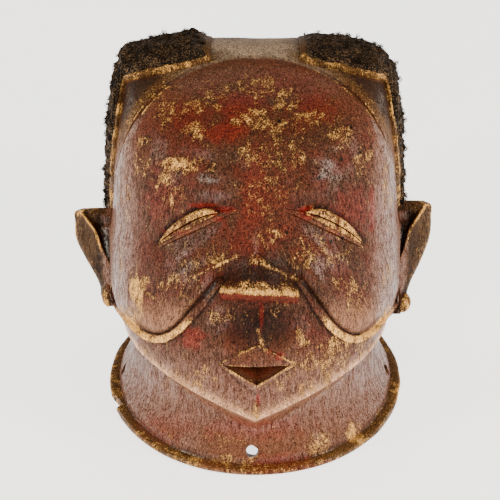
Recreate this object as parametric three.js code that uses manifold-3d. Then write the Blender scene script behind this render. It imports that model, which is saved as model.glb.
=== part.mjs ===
// A carved wooden helmet mask that rests on its rim, with two patches of short hair on its crown.
// Millimetres. Z is up, the face looks along -Y, and the rim's underside lies at Z = 0.

import * as THREE from "three";
import { mergeVertices } from "three/addons/utils/BufferGeometryUtils.js";
import Module from "manifold-3d";

const wasm = await Module();
wasm.setup();

// Head: a hollow with a domed top, measured from a centre point inside it.
const CENTRE_Y = 4;
const CENTRE_Z = 118;
const HEAD_HALF_WIDTH = 96;
const CROWN_NARROWING = 4; // how much slimmer the head is at the crown than at the temples
const FACE_REACH = 106.5; // from the centre forward to the face
const NAPE_REACH = 110; // from the centre back to the nape
const NAPE_TUCK = 16; // how far the nape has come in at the jaw's height
const FACE_LEAN = 0.2; // how far the face comes forward for each millimetre down
const JAW_NARROWING = 11; // how much slimmer the head is at the jaw than at the temples
const FACE_SQUARENESS = 2.4; // exponent of the level sections in front
const JAW_SQUARENESS = 2.1; // the same at the jaw
const NAPE_SQUARENESS = 2.8; // and at the back

// The dome's outline in side view: degrees from the face over the crown, and reach from the centre.
const DOME_REACH = [
  [0, FACE_REACH],
  [18, 102.5],
  [32, 105],
  [48, 113],
  [64, 121.5],
  [90, 127],
  [117, 122.5],
  [137, 117.5],
  [160, 112.5],
  [180, NAPE_REACH],
];

// The exponent of the dome's sections, by the same degrees: round in front and boxy over the crown.
const DOME_SQUARENESS = [
  [0, FACE_SQUARENESS],
  [35, 2.5],
  [62, 3.9],
  [90, 7],
  [118, 6],
  [150, 3.7],
  [180, NAPE_SQUARENESS],
];

// Neck and rim.
const NECK_HALF_WIDTH = 81.5;
const NECK_FLARE = 10; // how much wider the neck is at the rim than at its waist
const NECK_CENTRE_Y = -9; // the neck stands further forward than the head
const NECK_FRONT_REACH = 96;
const NECK_BACK_REACH = 87;
const WAIST_HEIGHT = 32;
const RIM_HALF_WIDTH = 96.7;
const RIM_FRONT_REACH = 111;
const RIM_BACK_REACH = 101;
const RIM_SQUARENESS = 2.05;
const BEAD_HEIGHT = 5.4;
const GROOVE_DEPTH = 1.2;

// Jaw: a ridge that is lowest at the chin and climbs to both sides in a V.
const CHIN_HEIGHT = 43.5;
const JAW_RISE = 20;
const JAW_RISE_WIDTH = 84;
const JAW_RIDGE = 1.4;
const JAW_DEPTH = 20; // how far below its ridge the jaw has gone back to the neck
const NAPE_DEPTH = 32;
const JAW_SWEEP = 1.8; // exponent of the hollow sweep from neck to jaw

// Walls.
const NECK_WALL = 9.5;
const HEAD_WALL = 12;

// The front is carved along one slanting direction, 33 degrees above the level.
// Places on the face are given across (to the right) and up in the plane square to it.
const CARVE_TILT = THREE.MathUtils.degToRad(33);
const CARVE_UP = new THREE.Vector3(0, Math.sin(CARVE_TILT), Math.cos(CARVE_TILT));
const CARVE_OUT = new THREE.Vector3(0, -Math.cos(CARVE_TILT), Math.sin(CARVE_TILT));
const SIDE_OUT = 56; // how far out the carving's edge lies at the sides of the head
const CHIN_UP = -28;
const FACE_AXIS_LEAN = 0.032; // the face's middle line leans a little to the right

// Eyes.
const EYE_INNER = { across: 24.5, up: 107 };
const EYE_OUTER = { across: 66, up: 90 };
const EYE_UPPER_BOW = 7.5;
const EYE_LOWER_BOW = 3.6;
const EYE_LIFT = 2.6;
const SLIT_BOW = 2.8;
const SLIT_DEPTH = 2;
const SLIT_WIDTH = 1.6;
const SOCKET_DEPTH = 4.5;
const SOCKET_HALF_WIDTH = 34;
const SOCKET_HALF_HEIGHT = 19;
const BROW_LIFT = 2;
const BROW_ACROSS = 36;
const BROW_UP = 127;
const BROW_HALF_WIDTH = 34;
const BROW_HALF_HEIGHT = 16;

// Nose.
const NOSE_BOTTOM_UP = 55;
const NOSE_TOP_UP = 106;
const NOSE_HALF_WIDTH = 25.5;
const BRIDGE_HALF_WIDTH = 8;
const NOSE_LIFT = 12;
const BRIDGE_LIFT = 0.6;

// Cheeks and the cord-like ridges below them.
const CORD_PATH = [
  [25, 62],
  [42, 45],
  [60, -1],
  [89, 45],
];
const CORD_STEPS = 18;
const CORD_RADIUS = 2.8;
const CORD_LIFT = 1.2;
const CHEEK_LIFT = 5.5;
const CHEEK_FADE = 26;
const CHEEK_START = 22; // the cheeks begin this far to each side of the nose's middle
const CHEEK_FULL = 36;

// Mouth.
const MOUTH_HALF_WIDTH = 25.5;
const MOUTH_LINE_UP = 8.2;
const UPPER_LIP_UP = 21.5;
const OPENING_HALF_WIDTH = 22.5;
const OPENING_BOTTOM_UP = -5;
const LOWER_LIP_UP = -12;
const LIP_LIFT = 3.2;
const MUZZLE_LIFT = 5;
const MUZZLE_UP = 14;
const MUZZLE_HALF_WIDTH = 46;
const MUZZLE_HALF_HEIGHT = 42;
const MOUTH_DEPTH = 60;

// Crease round the forehead.
const CREASE_HALF_WIDTH = 93;
const CREASE_UP = 112;
const CREASE_TOP_UP = 209;
const CREASE_SQUARENESS = 2.1;
const CREASE_DEPTH = 1.8;
const CREASE_WIDTH = 4;

// Ears.
const EAR_TOP_UP = 111;
const EAR_LOBE_UP = 46;
const EAR_REACH = 119.3;
const EAR_OUT = 58; // where the ear's front lies along the carving direction
const EAR_TOP_THICKNESS = 8;
const EAR_THICKNESS = 19;
const EAR_ROOT = 84;
const EAR_FLANGE = 13; // from the crest out to the ear's edge
const EAR_CREST_LIFT = 2.5;
const EAR_HOLLOW_DEPTH = 6;
const EAR_ASYMMETRY = 5; // the right ear reaches this much further up and down

// The ear's outline from its top to its lobe: share of its length, and share of its reach.
const EAR_OUTLINE = [
  [0, 0.8],
  [0.03, 0.99],
  [0.12, 1],
  [0.3, 0.97],
  [0.5, 0.77],
  [0.7, 0.5],
  [0.8, 0.4],
  [0.9, 0.38],
  [1, 0.2],
];

// Hair: two patches on raised beds, in angles about the centre.
const HAIR_FRONT_TURN = 87; // from the face over the crown
const HAIR_BACK_TURN = 190;
const HAIR_INNER_TURN = 13; // from the middle line to the side
const HAIR_OUTER_TURN = 80;
const BED_LIFT = 1.8;
const BED_EDGE_TURN = 1.2;
const HAIR_THICKNESS = 4.2;
const HAIR_GAP = 0.3;

// Lace holes and the chip in the rim.
const HOLE_RADIUS = 3.6;
const HOLE_HEIGHT = 13.5;
const FRONT_HOLE_ACROSS = -2;
const SIDE_HOLE_Y = -14;
const CHIP_START = -80; // degrees round from the face
const CHIP_END = -68.5;

// The middle of the box round the whole mask, which the origin stands under.
const MIDDLE_X = -1.27;
const MIDDLE_Y = -0.38;

const WOOD = new THREE.MeshStandardMaterial({ color: 0x6e3226, roughness: 0.55, metalness: 0 });
const HAIR = new THREE.MeshStandardMaterial({ color: 0x1c1511, roughness: 0.95, metalness: 0 });

const radians = THREE.MathUtils.degToRad;
const mix = THREE.MathUtils.lerp;
const fade = THREE.MathUtils.smoothstep;

// A smooth curve through stations of [place, value].
function through(stations, place) {
  const last = stations.length - 1;
  let i = 0;
  while (i < last - 1 && place > stations[i + 1][0]) {
    i += 1;
  }
  const slope = (k) => {
    const before = stations[Math.max(k - 1, 0)];
    const after = stations[Math.min(k + 1, last)];
    return (after[1] - before[1]) / (after[0] - before[0]);
  };
  const [x0, y0] = stations[i];
  const [x1, y1] = stations[i + 1];
  const span = x1 - x0;
  const t = THREE.MathUtils.clamp((place - x0) / span, 0, 1);
  const rest = 1 - t;
  return (
    y0 * rest * rest * (1 + 2 * t) +
    y1 * t * t * (3 - 2 * t) +
    slope(i) * span * t * rest * rest -
    slope(i + 1) * span * t * t * rest
  );
}

// A round hump, 1 in its middle and 0 from a distance of 1 on.
function hump(distance) {
  const left = Math.max(0, 1 - distance * distance);
  return left * left;
}

// The reach of a superellipse with the given half axes in the direction (a, b).
function superReach(a, b, halfA, halfB, squareness) {
  const sum = (Math.abs(a) / halfA) ** squareness + (Math.abs(b) / halfB) ** squareness;
  return sum ** (-1 / squareness);
}

// The middle line that level reaches are measured from; it leans back from neck to head.
function axisY(z) {
  return mix(NECK_CENTRE_Y, CENTRE_Y, fade(z, WAIST_HEIGHT, 98));
}

// The level reach of the neck from the middle line, at an angle round from the face.
function neckReach(turn, z, inset) {
  const below = Math.max(0, WAIST_HEIGHT - z) / (WAIST_HEIGHT - BEAD_HEIGHT);
  const flare = NECK_FLARE * below ** 1.4 - inset;
  const width = NECK_HALF_WIDTH + flare;
  const depth = (Math.cos(turn) > 0 ? NECK_FRONT_REACH : NECK_BACK_REACH) + flare;
  return superReach(Math.sin(turn), Math.cos(turn), width, depth, RIM_SQUARENESS);
}

function rimReach(turn) {
  const depth = Math.cos(turn) > 0 ? RIM_FRONT_REACH : RIM_BACK_REACH;
  return superReach(Math.sin(turn), Math.cos(turn), RIM_HALF_WIDTH, depth, RIM_SQUARENESS);
}

function headReach(turn, z, inset) {
  const down = CENTRE_Z - z;
  const width = HEAD_HALF_WIDTH - JAW_NARROWING * (1 - fade(z, 50, 88)) - inset;
  const lean = CENTRE_Y - axisY(z);
  const front = FACE_REACH + FACE_LEAN * down - lean;
  const back = NAPE_REACH - NAPE_TUCK * (Math.max(0, down) / (CENTRE_Z - CHIN_HEIGHT)) ** 2 + lean;
  const isFront = Math.cos(turn) > 0;
  const depth = (isFront ? front : back) - inset;
  const square = isFront ? mix(JAW_SQUARENESS, FACE_SQUARENESS, fade(z, 55, 100)) : NAPE_SQUARENESS;
  return superReach(Math.sin(turn), Math.cos(turn), width, depth, square);
}

function jawHeight(turn) {
  const isFront = Math.cos(turn) > 0;
  const across = isFront ? Math.min((Math.abs(Math.sin(turn)) * 100) / JAW_RISE_WIDTH, 1) : 1;
  return CHIN_HEIGHT + JAW_RISE * (1 - (1 - across) ** 2);
}

// The reach from the centre in any direction above the level, or a little below it at the back.
function domeReach(direction, inset) {
  const sideways = Math.hypot(direction.y, direction.z);
  const over = Math.atan2(direction.z, -direction.y);
  if (over < 0) {
    const level = Math.hypot(direction.x, direction.y);
    const z = CENTRE_Z + (NAPE_REACH * direction.z) / level;
    return headReach(Math.atan2(direction.x, -direction.y), z, inset) / level;
  }
  const degrees = THREE.MathUtils.radToDeg(over);
  const reach = through(DOME_REACH, degrees) - inset;
  const square = through(DOME_SQUARENESS, degrees);
  const width = HEAD_HALF_WIDTH - CROWN_NARROWING * Math.sin(over) ** 2 - inset;
  return superReach(direction.x, sideways, width, reach, square);
}

function onWall(turn, z, reach) {
  return new THREE.Vector3(Math.sin(turn) * reach, axisY(z) - Math.cos(turn) * reach, z);
}

function onDome(turn, climb, inset) {
  const level = Math.cos(climb);
  const direction = new THREE.Vector3(Math.sin(turn) * level, -Math.cos(turn) * level, Math.sin(climb));
  const reach = domeReach(direction, inset);
  return direction.multiplyScalar(reach).add(new THREE.Vector3(0, CENTRE_Y, CENTRE_Z));
}

// The wall's reach with the jaw's step and ridge, and the rim's bead below it.
function wallReach(turn, z) {
  const jaw = jawHeight(turn);
  const neck = neckReach(turn, z, 0);
  const ridge = JAW_RIDGE * hump((z - jaw) / 6) * fade(Math.cos(turn), 0.1, 0.6);
  const head = headReach(turn, z, 0) + ridge;
  const below = mix(NAPE_DEPTH, JAW_DEPTH, fade(Math.cos(turn), -0.5, 0.2));
  const bend = mix(1.2, JAW_SWEEP, fade(Math.cos(turn), 0, 0.7));
  const sweep = THREE.MathUtils.clamp((z - jaw + below) / below, 0, 1) ** bend;
  const body = mix(neck, head, sweep);
  const cut = GROOVE_DEPTH * hump((z - BEAD_HEIGHT - 0.8) / 3);
  const groove = neckReach(turn, Math.max(z, BEAD_HEIGHT), cut);
  const across = Math.min(Math.abs(z / BEAD_HEIGHT - 0.5) * 2, 1);
  const bead = (rimReach(turn) - groove) * Math.sqrt(1 - 0.85 * across ** 3);
  return z < BEAD_HEIGHT ? groove + bead : body - neck + groove;
}

function isInside(point) {
  if (point.z < CENTRE_Z) {
    const behind = point.y - axisY(point.z);
    const turn = Math.atan2(point.x, -behind);
    return Math.hypot(point.x, behind) < wallReach(turn, Math.max(point.z, BEAD_HEIGHT));
  }
  const from = point.clone().sub(new THREE.Vector3(0, CENTRE_Y, CENTRE_Z));
  return from.length() < domeReach(from.clone().normalize(), 0);
}

// The depth, along the carving direction, at which the plain form is met.
function plainDepth(across, up) {
  let inside = SIDE_OUT;
  let outside = 220;
  let out = inside;
  for (let step = 0; step < 24; step += 1) {
    out = (inside + outside) / 2;
    const point = facePoint(across, up, out);
    if (isInside(point)) {
      inside = out;
    } else {
      outside = out;
    }
  }
  return out;
}

function facePoint(across, up, out) {
  return new THREE.Vector3(across, 0, 0).addScaledVector(CARVE_UP, up).addScaledVector(CARVE_OUT, out);
}

function axisAcross(up) {
  return FACE_AXIS_LEAN * (up - CHIN_UP);
}

// The cord's course from the wing of the nose to the ear, on one side.
function cordPlace(side, t) {
  const rest = 1 - t;
  const weights = [rest ** 3, 3 * t * rest * rest, 3 * t * t * rest, t ** 3];
  let across = 0;
  let up = 0;
  weights.forEach((weight, i) => {
    across += weight * CORD_PATH[i][0];
    up += weight * CORD_PATH[i][1];
  });
  return [side * across + axisAcross(up) * (1 - t), up];
}

const cordPlaces = new Map(
  [-1, 1].map((side) => [
    side,
    Array.from({ length: CORD_STEPS + 1 }, (_, i) => cordPlace(side, i / CORD_STEPS)),
  ]),
);

// Distance above the cord, on the cheek's side. Below it the value is negative.
function aboveCord(across, up) {
  const side = across < axisAcross(up) ? -1 : 1;
  const places = cordPlaces.get(side);
  let best = Infinity;
  let sign = 1;
  for (let i = 0; i < CORD_STEPS; i += 1) {
    const [x0, y0] = places[i];
    const [x1, y1] = places[i + 1];
    const dx = x1 - x0;
    const dy = y1 - y0;
    const along = THREE.MathUtils.clamp(((across - x0) * dx + (up - y0) * dy) / (dx * dx + dy * dy), 0, 1);
    const gapX = across - x0 - dx * along;
    const gapY = up - y0 - dy * along;
    const gap = Math.hypot(gapX, gapY);
    if (gap < best) {
      best = gap;
      sign = dx * gapY - dy * gapX > 0 ? side : -side;
    }
  }
  return best * sign;
}

// The broad carving of the front, as a height along the carving direction.
function relief(across, up) {
  const x = across - axisAcross(up);
  const side = Math.abs(x);
  const eyeMiddle = (EYE_INNER.across + EYE_OUTER.across) / 2;
  const eyeUp = (EYE_INNER.up + EYE_OUTER.up) / 2;
  const slope = (EYE_INNER.up - EYE_OUTER.up) / (EYE_OUTER.across - EYE_INNER.across);
  const alongEye = (side - eyeMiddle) / SOCKET_HALF_WIDTH;
  const aboveEye = (up - eyeUp + slope * (side - eyeMiddle)) / SOCKET_HALF_HEIGHT;
  const socket = -SOCKET_DEPTH * hump(Math.hypot(alongEye, aboveEye));
  const fromBrow = Math.hypot((side - BROW_ACROSS) / BROW_HALF_WIDTH, (up - BROW_UP) / BROW_HALF_HEIGHT);
  const brow = BROW_LIFT * hump(fromBrow);
  const gap = aboveCord(across, up);
  const step = fade(gap, 0, CHEEK_FADE / 2) * fade(side, CHEEK_START, CHEEK_FULL);
  const cheek = CHEEK_LIFT * hump(Math.max(gap, 0) / CHEEK_FADE) * step;
  const fromMuzzle = Math.hypot(x / MUZZLE_HALF_WIDTH, (up - MUZZLE_UP) / MUZZLE_HALF_HEIGHT);
  const muzzle = MUZZLE_LIFT * hump(fromMuzzle) * fade(-gap, -2, 6);
  return socket + brow + cheek + muzzle;
}

function carvedPoint(across, up, lift) {
  return facePoint(across, up, plainDepth(across, up) + relief(across, up) + lift);
}

// Moves a point of the plain form outwards by the carving, which fades at the sides of the head.
function carve(point) {
  const out = point.dot(CARVE_OUT);
  const strength = fade(out, 20, 50) * fade(point.z, 14, 30);
  return point.addScaledVector(CARVE_OUT, strength * relief(point.x, point.dot(CARVE_UP)));
}

// A closed solid through rings of equally many points, with a fan at each end.
function loft(rings) {
  const across = rings[0].length;
  const points = rings.flat();
  const faces = [];
  for (let i = 0; i + 1 < rings.length; i += 1) {
    for (let j = 0; j < across; j += 1) {
      const a = i * across + j;
      const b = i * across + ((j + 1) % across);
      const c = a + across;
      const d = b + across;
      const isForward = points[a].distanceTo(points[d]) < points[b].distanceTo(points[c]);
      faces.push(...(isForward ? [a, b, d, a, d, c] : [a, b, c, b, d, c]));
    }
  }
  [0, rings.length - 1].forEach((end) => {
    const middle = new THREE.Vector3();
    rings[end].forEach((point) => middle.addScaledVector(point, 1 / across));
    points.push(middle);
    for (let j = 0; j < across; j += 1) {
      const a = end * across + j;
      const b = end * across + ((j + 1) % across);
      faces.push(...(end === 0 ? [b, a, points.length - 1] : [a, b, points.length - 1]));
    }
  });
  return solidFrom(points, faces);
}

// A closed solid between two grids of points, both cut into triangles the same way.
function thicken(top, bottom) {
  const rows = top.length;
  const columns = top[0].length;
  const points = [...top.flat(), ...bottom.flat()];
  const below = rows * columns;
  const faces = [];
  const wall = (a, b) => faces.push(a, b, b + below, a, b + below, a + below);
  for (let i = 0; i + 1 < rows; i += 1) {
    for (let j = 0; j + 1 < columns; j += 1) {
      const a = i * columns + j;
      const c = a + columns + 1;
      faces.push(a, a + columns, c, a, c, a + 1);
      faces.push(a + below, c + below, a + columns + below, a + below, a + 1 + below, c + below);
    }
    wall((i + 1) * columns, i * columns);
    wall(i * columns + columns - 1, (i + 2) * columns - 1);
  }
  for (let j = 0; j + 1 < columns; j += 1) {
    wall(j, j + 1);
    wall(below - columns + j + 1, below - columns + j);
  }
  return solidFrom(points, faces);
}

// The solid that a closed mesh bounds, turned right side out.
function solidFrom(points, faces) {
  let volume = 0;
  for (let i = 0; i < faces.length; i += 3) {
    const [a, b, c] = [faces[i], faces[i + 1], faces[i + 2]].map((k) => points[k]);
    volume += a.dot(b.clone().cross(c));
  }
  const geometry = new THREE.BufferGeometry().setFromPoints(points);
  geometry.setIndex(volume > 0 ? faces : faces.reverse());
  const merged = mergeVertices(geometry, 1e-4);
  return new wasm.Manifold(
    new wasm.Mesh({
      numProp: 3,
      vertProperties: new Float32Array(merged.attributes.position.array),
      triVerts: new Uint32Array(merged.index.array),
    }),
  );
}

// A bar through places on the face, with a half width that may vary and an even half height.
function bar(places, radiusAt, height, sides) {
  const curve = new THREE.CatmullRomCurve3(places);
  const rings = places.map((place, i) => {
    const t = i / (places.length - 1);
    const acrossBar = new THREE.Vector3().crossVectors(curve.getTangent(t), CARVE_OUT).normalize();
    const grow = radiusAt(t);
    return Array.from({ length: sides }, (_, k) => {
      const angle = (2 * Math.PI * k) / sides;
      return place
        .clone()
        .addScaledVector(acrossBar, Math.cos(angle) * grow)
        .addScaledVector(CARVE_OUT, Math.sin(angle) * height);
    });
  });
  return loft(rings);
}

// The outside of head, neck and rim.
function makeBody() {
  const turns = [];
  const frontColumns = 36;
  const backColumns = 12;
  const frontHalf = 84;
  for (let i = 0; i < frontColumns; i += 1) {
    turns.push(radians(-frontHalf + (2 * frontHalf * i) / frontColumns));
  }
  for (let i = 0; i < backColumns; i += 1) {
    turns.push(radians(frontHalf + ((360 - 2 * frontHalf) * i) / backColumns));
  }
  const rings = [0, 0.12, 0.5, 0.85, 0.99, 1.2].map((share) =>
    turns.map((turn) => onWall(turn, share * BEAD_HEIGHT, wallReach(turn, share * BEAD_HEIGHT))),
  );
  const neckTop = (turn) => jawHeight(turn) - 12;
  [0, 0.35, 0.7, 1].forEach((share) => {
    rings.push(
      turns.map((turn) => {
        const z = mix(BEAD_HEIGHT + 4, neckTop(turn), share);
        return onWall(turn, z, wallReach(turn, z));
      }),
    );
  });
  [-7, -3, 0, 5].forEach((above) => {
    rings.push(
      turns.map((turn) => {
        const z = jawHeight(turn) + above;
        return carve(onWall(turn, z, wallReach(turn, z)));
      }),
    );
  });
  const faceRows = 10;
  for (let i = 1; i <= faceRows; i += 1) {
    rings.push(
      turns.map((turn) => {
        const z = mix(jawHeight(turn) + 5, CENTRE_Z, i / faceRows);
        return carve(onWall(turn, z, wallReach(turn, z)));
      }),
    );
  }
  const domeRows = 17;
  for (let i = 1; i < domeRows; i += 1) {
    const climb = (Math.PI / 2) * (i / domeRows);
    rings.push(turns.map((turn) => carve(onDome(turn, climb, 0))));
  }
  return loft(rings);
}

// The hollow: plain walls and a plain dome, open below the rim.
function makeHollow() {
  const neckTop = 36;
  const headStart = 92;
  const columns = 24;
  const turns = Array.from({ length: columns }, (_, i) => (2 * Math.PI * i) / columns);
  const level = (z) => {
    const share = fade(z, neckTop, headStart);
    return turns.map((turn) =>
      onWall(turn, z, mix(neckReach(turn, z, NECK_WALL), headReach(turn, z, HEAD_WALL), share)),
    );
  };
  const rings = [-4, neckTop, 54, 72, headStart].map(level);
  const domeRows = 7;
  for (let i = 0; i < domeRows; i += 1) {
    const climb = (Math.PI / 2) * (i / domeRows);
    rings.push(turns.map((turn) => onDome(turn, climb, HEAD_WALL)));
  }
  return loft(rings);
}

// A leaf-shaped eye: a raised lens between an upper and a lower bow, with a slit along it.
function eyePlace(side, t, bow) {
  const across = mix(EYE_INNER.across, EYE_OUTER.across, t);
  const up = mix(EYE_INNER.up, EYE_OUTER.up, t) + bow * 4 * t * (1 - t);
  return [side * across + axisAcross(up), up];
}

function makeEye(side) {
  const stations = 7;
  const rings = [];
  for (let i = 0; i <= stations; i += 1) {
    const t = mix(0.015, 0.985, i / stations);
    const shares = [0, 0.25, 0.5, 0.75, 1];
    const outer = shares.map((share) => {
      const [across, up] = eyePlace(side, t, mix(-EYE_LOWER_BOW, EYE_UPPER_BOW, share));
      const lens = Math.sin(Math.PI * mix(0.12, 0.88, share));
      return carvedPoint(across, up, EYE_LIFT * lens * Math.sqrt(4 * t * (1 - t)));
    });
    const inner = shares.map((share) => {
      const [across, up] = eyePlace(side, t, mix(-EYE_LOWER_BOW, EYE_UPPER_BOW, share));
      return carvedPoint(across, up, -3);
    });
    rings.push([...outer, ...inner.reverse()]);
  }
  return loft(rings);
}

function makeSlit(side) {
  const proud = 0.6;
  const stations = 8;
  const places = [];
  for (let i = 0; i <= stations; i += 1) {
    const t = mix(0.06, 0.97, i / stations);
    const [across, up] = eyePlace(side, t, SLIT_BOW);
    places.push(carvedPoint(across, up, EYE_LIFT * Math.sqrt(4 * t * (1 - t)) + proud));
  }
  const halfWidth = (t) => (mix(0.6, 1, Math.sin(Math.PI * t)) * SLIT_WIDTH) / 2;
  return bar(places, halfWidth, SLIT_DEPTH + proud, 4);
}

// The nose: arched sections that grow towards a straight-cut lower edge.
function makeNose() {
  const rings = [];
  const stations = 7;
  const sides = 10;
  for (let i = 0; i <= stations; i += 1) {
    const t = i / stations;
    const up = mix(NOSE_TOP_UP, NOSE_BOTTOM_UP, t);
    const half = mix(BRIDGE_HALF_WIDTH, NOSE_HALF_WIDTH, t ** 1.3);
    const lift = mix(BRIDGE_LIFT, NOSE_LIFT, t ** 1.2);
    const arch = [];
    for (let k = 0; k <= sides; k += 1) {
      const s = (2 * k) / sides - 1;
      const height = lift * (1 - Math.abs(s) ** mix(2, 4, t)) - (Math.abs(s) === 1 ? 2 : 0);
      arch.push(carvedPoint(axisAcross(up) + s * half, up, height));
    }
    const root = [0.7, 0, -0.7].map((s) => carvedPoint(axisAcross(up) + s * half, up, -4));
    rings.push([...arch, ...root]);
  }
  return loft(rings);
}

// A raised flat shape on the face with an outline of corners in face places.
function makeBoss(corners, lift) {
  const mean = (k) => corners.reduce((sum, corner) => sum + corner[k], 0) / corners.length;
  const ring = (shrink, height) =>
    corners.map(([across, up]) =>
      carvedPoint(mix(across, mean(0), shrink), mix(up, mean(1), shrink), height),
    );
  return loft([ring(0, -4), ring(0, lift * 0.6), ring(0.12, lift)]);
}

function makeUpperLip() {
  const axis = axisAcross(MOUTH_LINE_UP);
  return makeBoss(
    [
      [axis - MOUTH_HALF_WIDTH, MOUTH_LINE_UP + 0.5],
      [axis, MOUTH_LINE_UP - 0.8],
      [axis + MOUTH_HALF_WIDTH, MOUTH_LINE_UP],
      [axis + MOUTH_HALF_WIDTH / 2, mix(MOUTH_LINE_UP, UPPER_LIP_UP, 0.5)],
      [axis + 2.5, UPPER_LIP_UP],
      [axis - 2.5, UPPER_LIP_UP],
      [axis - MOUTH_HALF_WIDTH / 2, mix(MOUTH_LINE_UP, UPPER_LIP_UP, 0.5)],
    ],
    LIP_LIFT,
  );
}

function makeLowerLip() {
  const axis = axisAcross(MOUTH_LINE_UP);
  return makeBoss(
    [
      [axis - MOUTH_HALF_WIDTH, MOUTH_LINE_UP],
      [axis - MOUTH_HALF_WIDTH / 2, mix(MOUTH_LINE_UP, LOWER_LIP_UP, 0.52)],
      [axis - 2, LOWER_LIP_UP],
      [axis + 2, LOWER_LIP_UP],
      [axis + MOUTH_HALF_WIDTH / 2, mix(MOUTH_LINE_UP, LOWER_LIP_UP, 0.52)],
      [axis + MOUTH_HALF_WIDTH, MOUTH_LINE_UP],
    ],
    LIP_LIFT,
  );
}

// The mouth's opening, cut straight back into the hollow and a little narrower there.
function makeMouthCut() {
  const axis = axisAcross(MOUTH_LINE_UP);
  const corners = [
    [-OPENING_HALF_WIDTH, MOUTH_LINE_UP - 0.2],
    [0, OPENING_BOTTOM_UP - 0.6],
    [OPENING_HALF_WIDTH, MOUTH_LINE_UP - 0.4],
    [0, MOUTH_LINE_UP - 0.8],
  ];
  const front = corners.map(([across, up]) => carvedPoint(axis + across, up, LIP_LIFT));
  const back = front.map((point) =>
    new THREE.Vector3(mix(axis, point.x, 0.85), point.y + MOUTH_DEPTH, point.z),
  );
  const ahead = front.map((point) => point.clone().add(new THREE.Vector3(0, -20, 0)));
  return loft([ahead, front, back]);
}

// The cord lies on the carving and ends at the front of the ear's lobe.
function makeCord(side) {
  const places = cordPlaces.get(side).map(([across, up]) => carvedPoint(across, up, CORD_LIFT));
  places.push(facePoint(side * (HEAD_HALF_WIDTH - 4), EAR_LOBE_UP + 3, EAR_OUT));
  return bar(places, () => CORD_RADIUS, CORD_RADIUS * 0.85, 6);
}

// The crease runs round the forehead, over the crown and down to the temples.
function makeCrease() {
  const proud = 0.8;
  const stations = 22;
  const places = [];
  for (let i = 0; i <= stations; i += 1) {
    const angle = radians(mix(14, 166, i / stations));
    const reach = superReach(
      Math.cos(angle),
      Math.sin(angle),
      CREASE_HALF_WIDTH,
      CREASE_TOP_UP - CREASE_UP,
      CREASE_SQUARENESS,
    );
    const across = Math.cos(angle) * reach;
    const up = CREASE_UP + Math.sin(angle) * reach;
    places.push(facePoint(across, up, plainDepth(across, up) + proud));
  }
  return bar(places, () => CREASE_WIDTH / 2, CREASE_DEPTH + proud, 4);
}

// An ear: a flange with a raised crest round a hollow, from its flat top down to a small lobe.
function makeEar(side) {
  const longer = side > 0 ? EAR_ASYMMETRY : 0;
  const reach = EAR_REACH - longer / 2;
  const rings = [];
  const stations = 14;
  for (let i = 0; i <= stations; i += 1) {
    const t = (i / stations) ** 1.1;
    const up = mix(EAR_TOP_UP + longer, EAR_LOBE_UP - longer, t);
    const edge = mix(HEAD_HALF_WIDTH - 5, reach, through(EAR_OUTLINE, t));
    const fullness = fade(t, 0, 0.35) * (1 - 0.45 * fade(t, 0.6, 1));
    const thick = mix(EAR_TOP_THICKNESS, EAR_THICKNESS, fullness);
    const flange = mix(3, EAR_FLANGE, fade(t, 0, 0.3) * (1 - 0.7 * fade(t, 0.55, 0.85)));
    const crest = edge - flange;
    const hollow = mix(crest, HEAD_HALF_WIDTH, 0.55);
    const deep = fade(t, 0.03, 0.2) * (1 - fade(t, 0.6, 0.85));
    rings.push(
      [
        [EAR_ROOT, EAR_OUT - 3],
        [hollow, EAR_OUT - EAR_HOLLOW_DEPTH * deep],
        [mix(crest, hollow, 0.35), EAR_OUT - EAR_HOLLOW_DEPTH * deep * 0.6],
        [crest, EAR_OUT + EAR_CREST_LIFT * deep],
        [mix(crest, edge, 0.5), EAR_OUT - thick * 0.18],
        [edge, EAR_OUT - thick * 0.5],
        [edge - 1.5, EAR_OUT - thick * 0.8],
        [EAR_ROOT, EAR_OUT - thick],
      ].map(([across, depth]) => facePoint(side * across, up, depth)),
    );
  }
  return loft(rings);
}

// A slab that follows the dome between two turns over the crown and two turns to the side.
function makeSlab(side, margin, low, high) {
  const overs = slabTurns(HAIR_FRONT_TURN, HAIR_BACK_TURN, 11, margin);
  const asides = slabTurns(HAIR_INNER_TURN, HAIR_OUTER_TURN, 9, margin);
  const place = (over, aside, lift) => {
    const direction = new THREE.Vector3(
      side * Math.sin(aside),
      -Math.cos(aside) * Math.cos(over),
      Math.cos(aside) * Math.sin(over),
    );
    const reach = domeReach(direction, -lift);
    return direction.multiplyScalar(reach).add(new THREE.Vector3(0, CENTRE_Y, CENTRE_Z));
  };
  const grid = (lift) => overs.map((over) => asides.map((aside) => place(over, aside, lift)));
  return thicken(grid(high), grid(low));
}

// Even turns, in radians, a little inside two bounds. Without a margin the bounds are added, so
// the wooden bed is that much wider than the hair on it, and both share the turns between.
function slabTurns(start, end, count, margin) {
  const inner = Array.from({ length: count }, (_, i) =>
    mix(start + BED_EDGE_TURN, end - BED_EDGE_TURN, i / (count - 1)),
  );
  const all = margin ? inner : [start, ...inner, end];
  return all.map(radians);
}

function makeHole(place, direction) {
  const sides = 12;
  const sideways = new THREE.Vector3(0, 0, 1).cross(direction).normalize();
  const ring = (along) =>
    Array.from({ length: sides }, (_, k) => {
      const angle = (2 * Math.PI * (k + 0.5)) / sides;
      return place
        .clone()
        .addScaledVector(direction, along)
        .addScaledVector(sideways, Math.cos(angle) * HOLE_RADIUS)
        .add(new THREE.Vector3(0, 0, Math.sin(angle) * HOLE_RADIUS));
    });
  return loft([ring(-30), ring(30)]);
}

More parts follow.
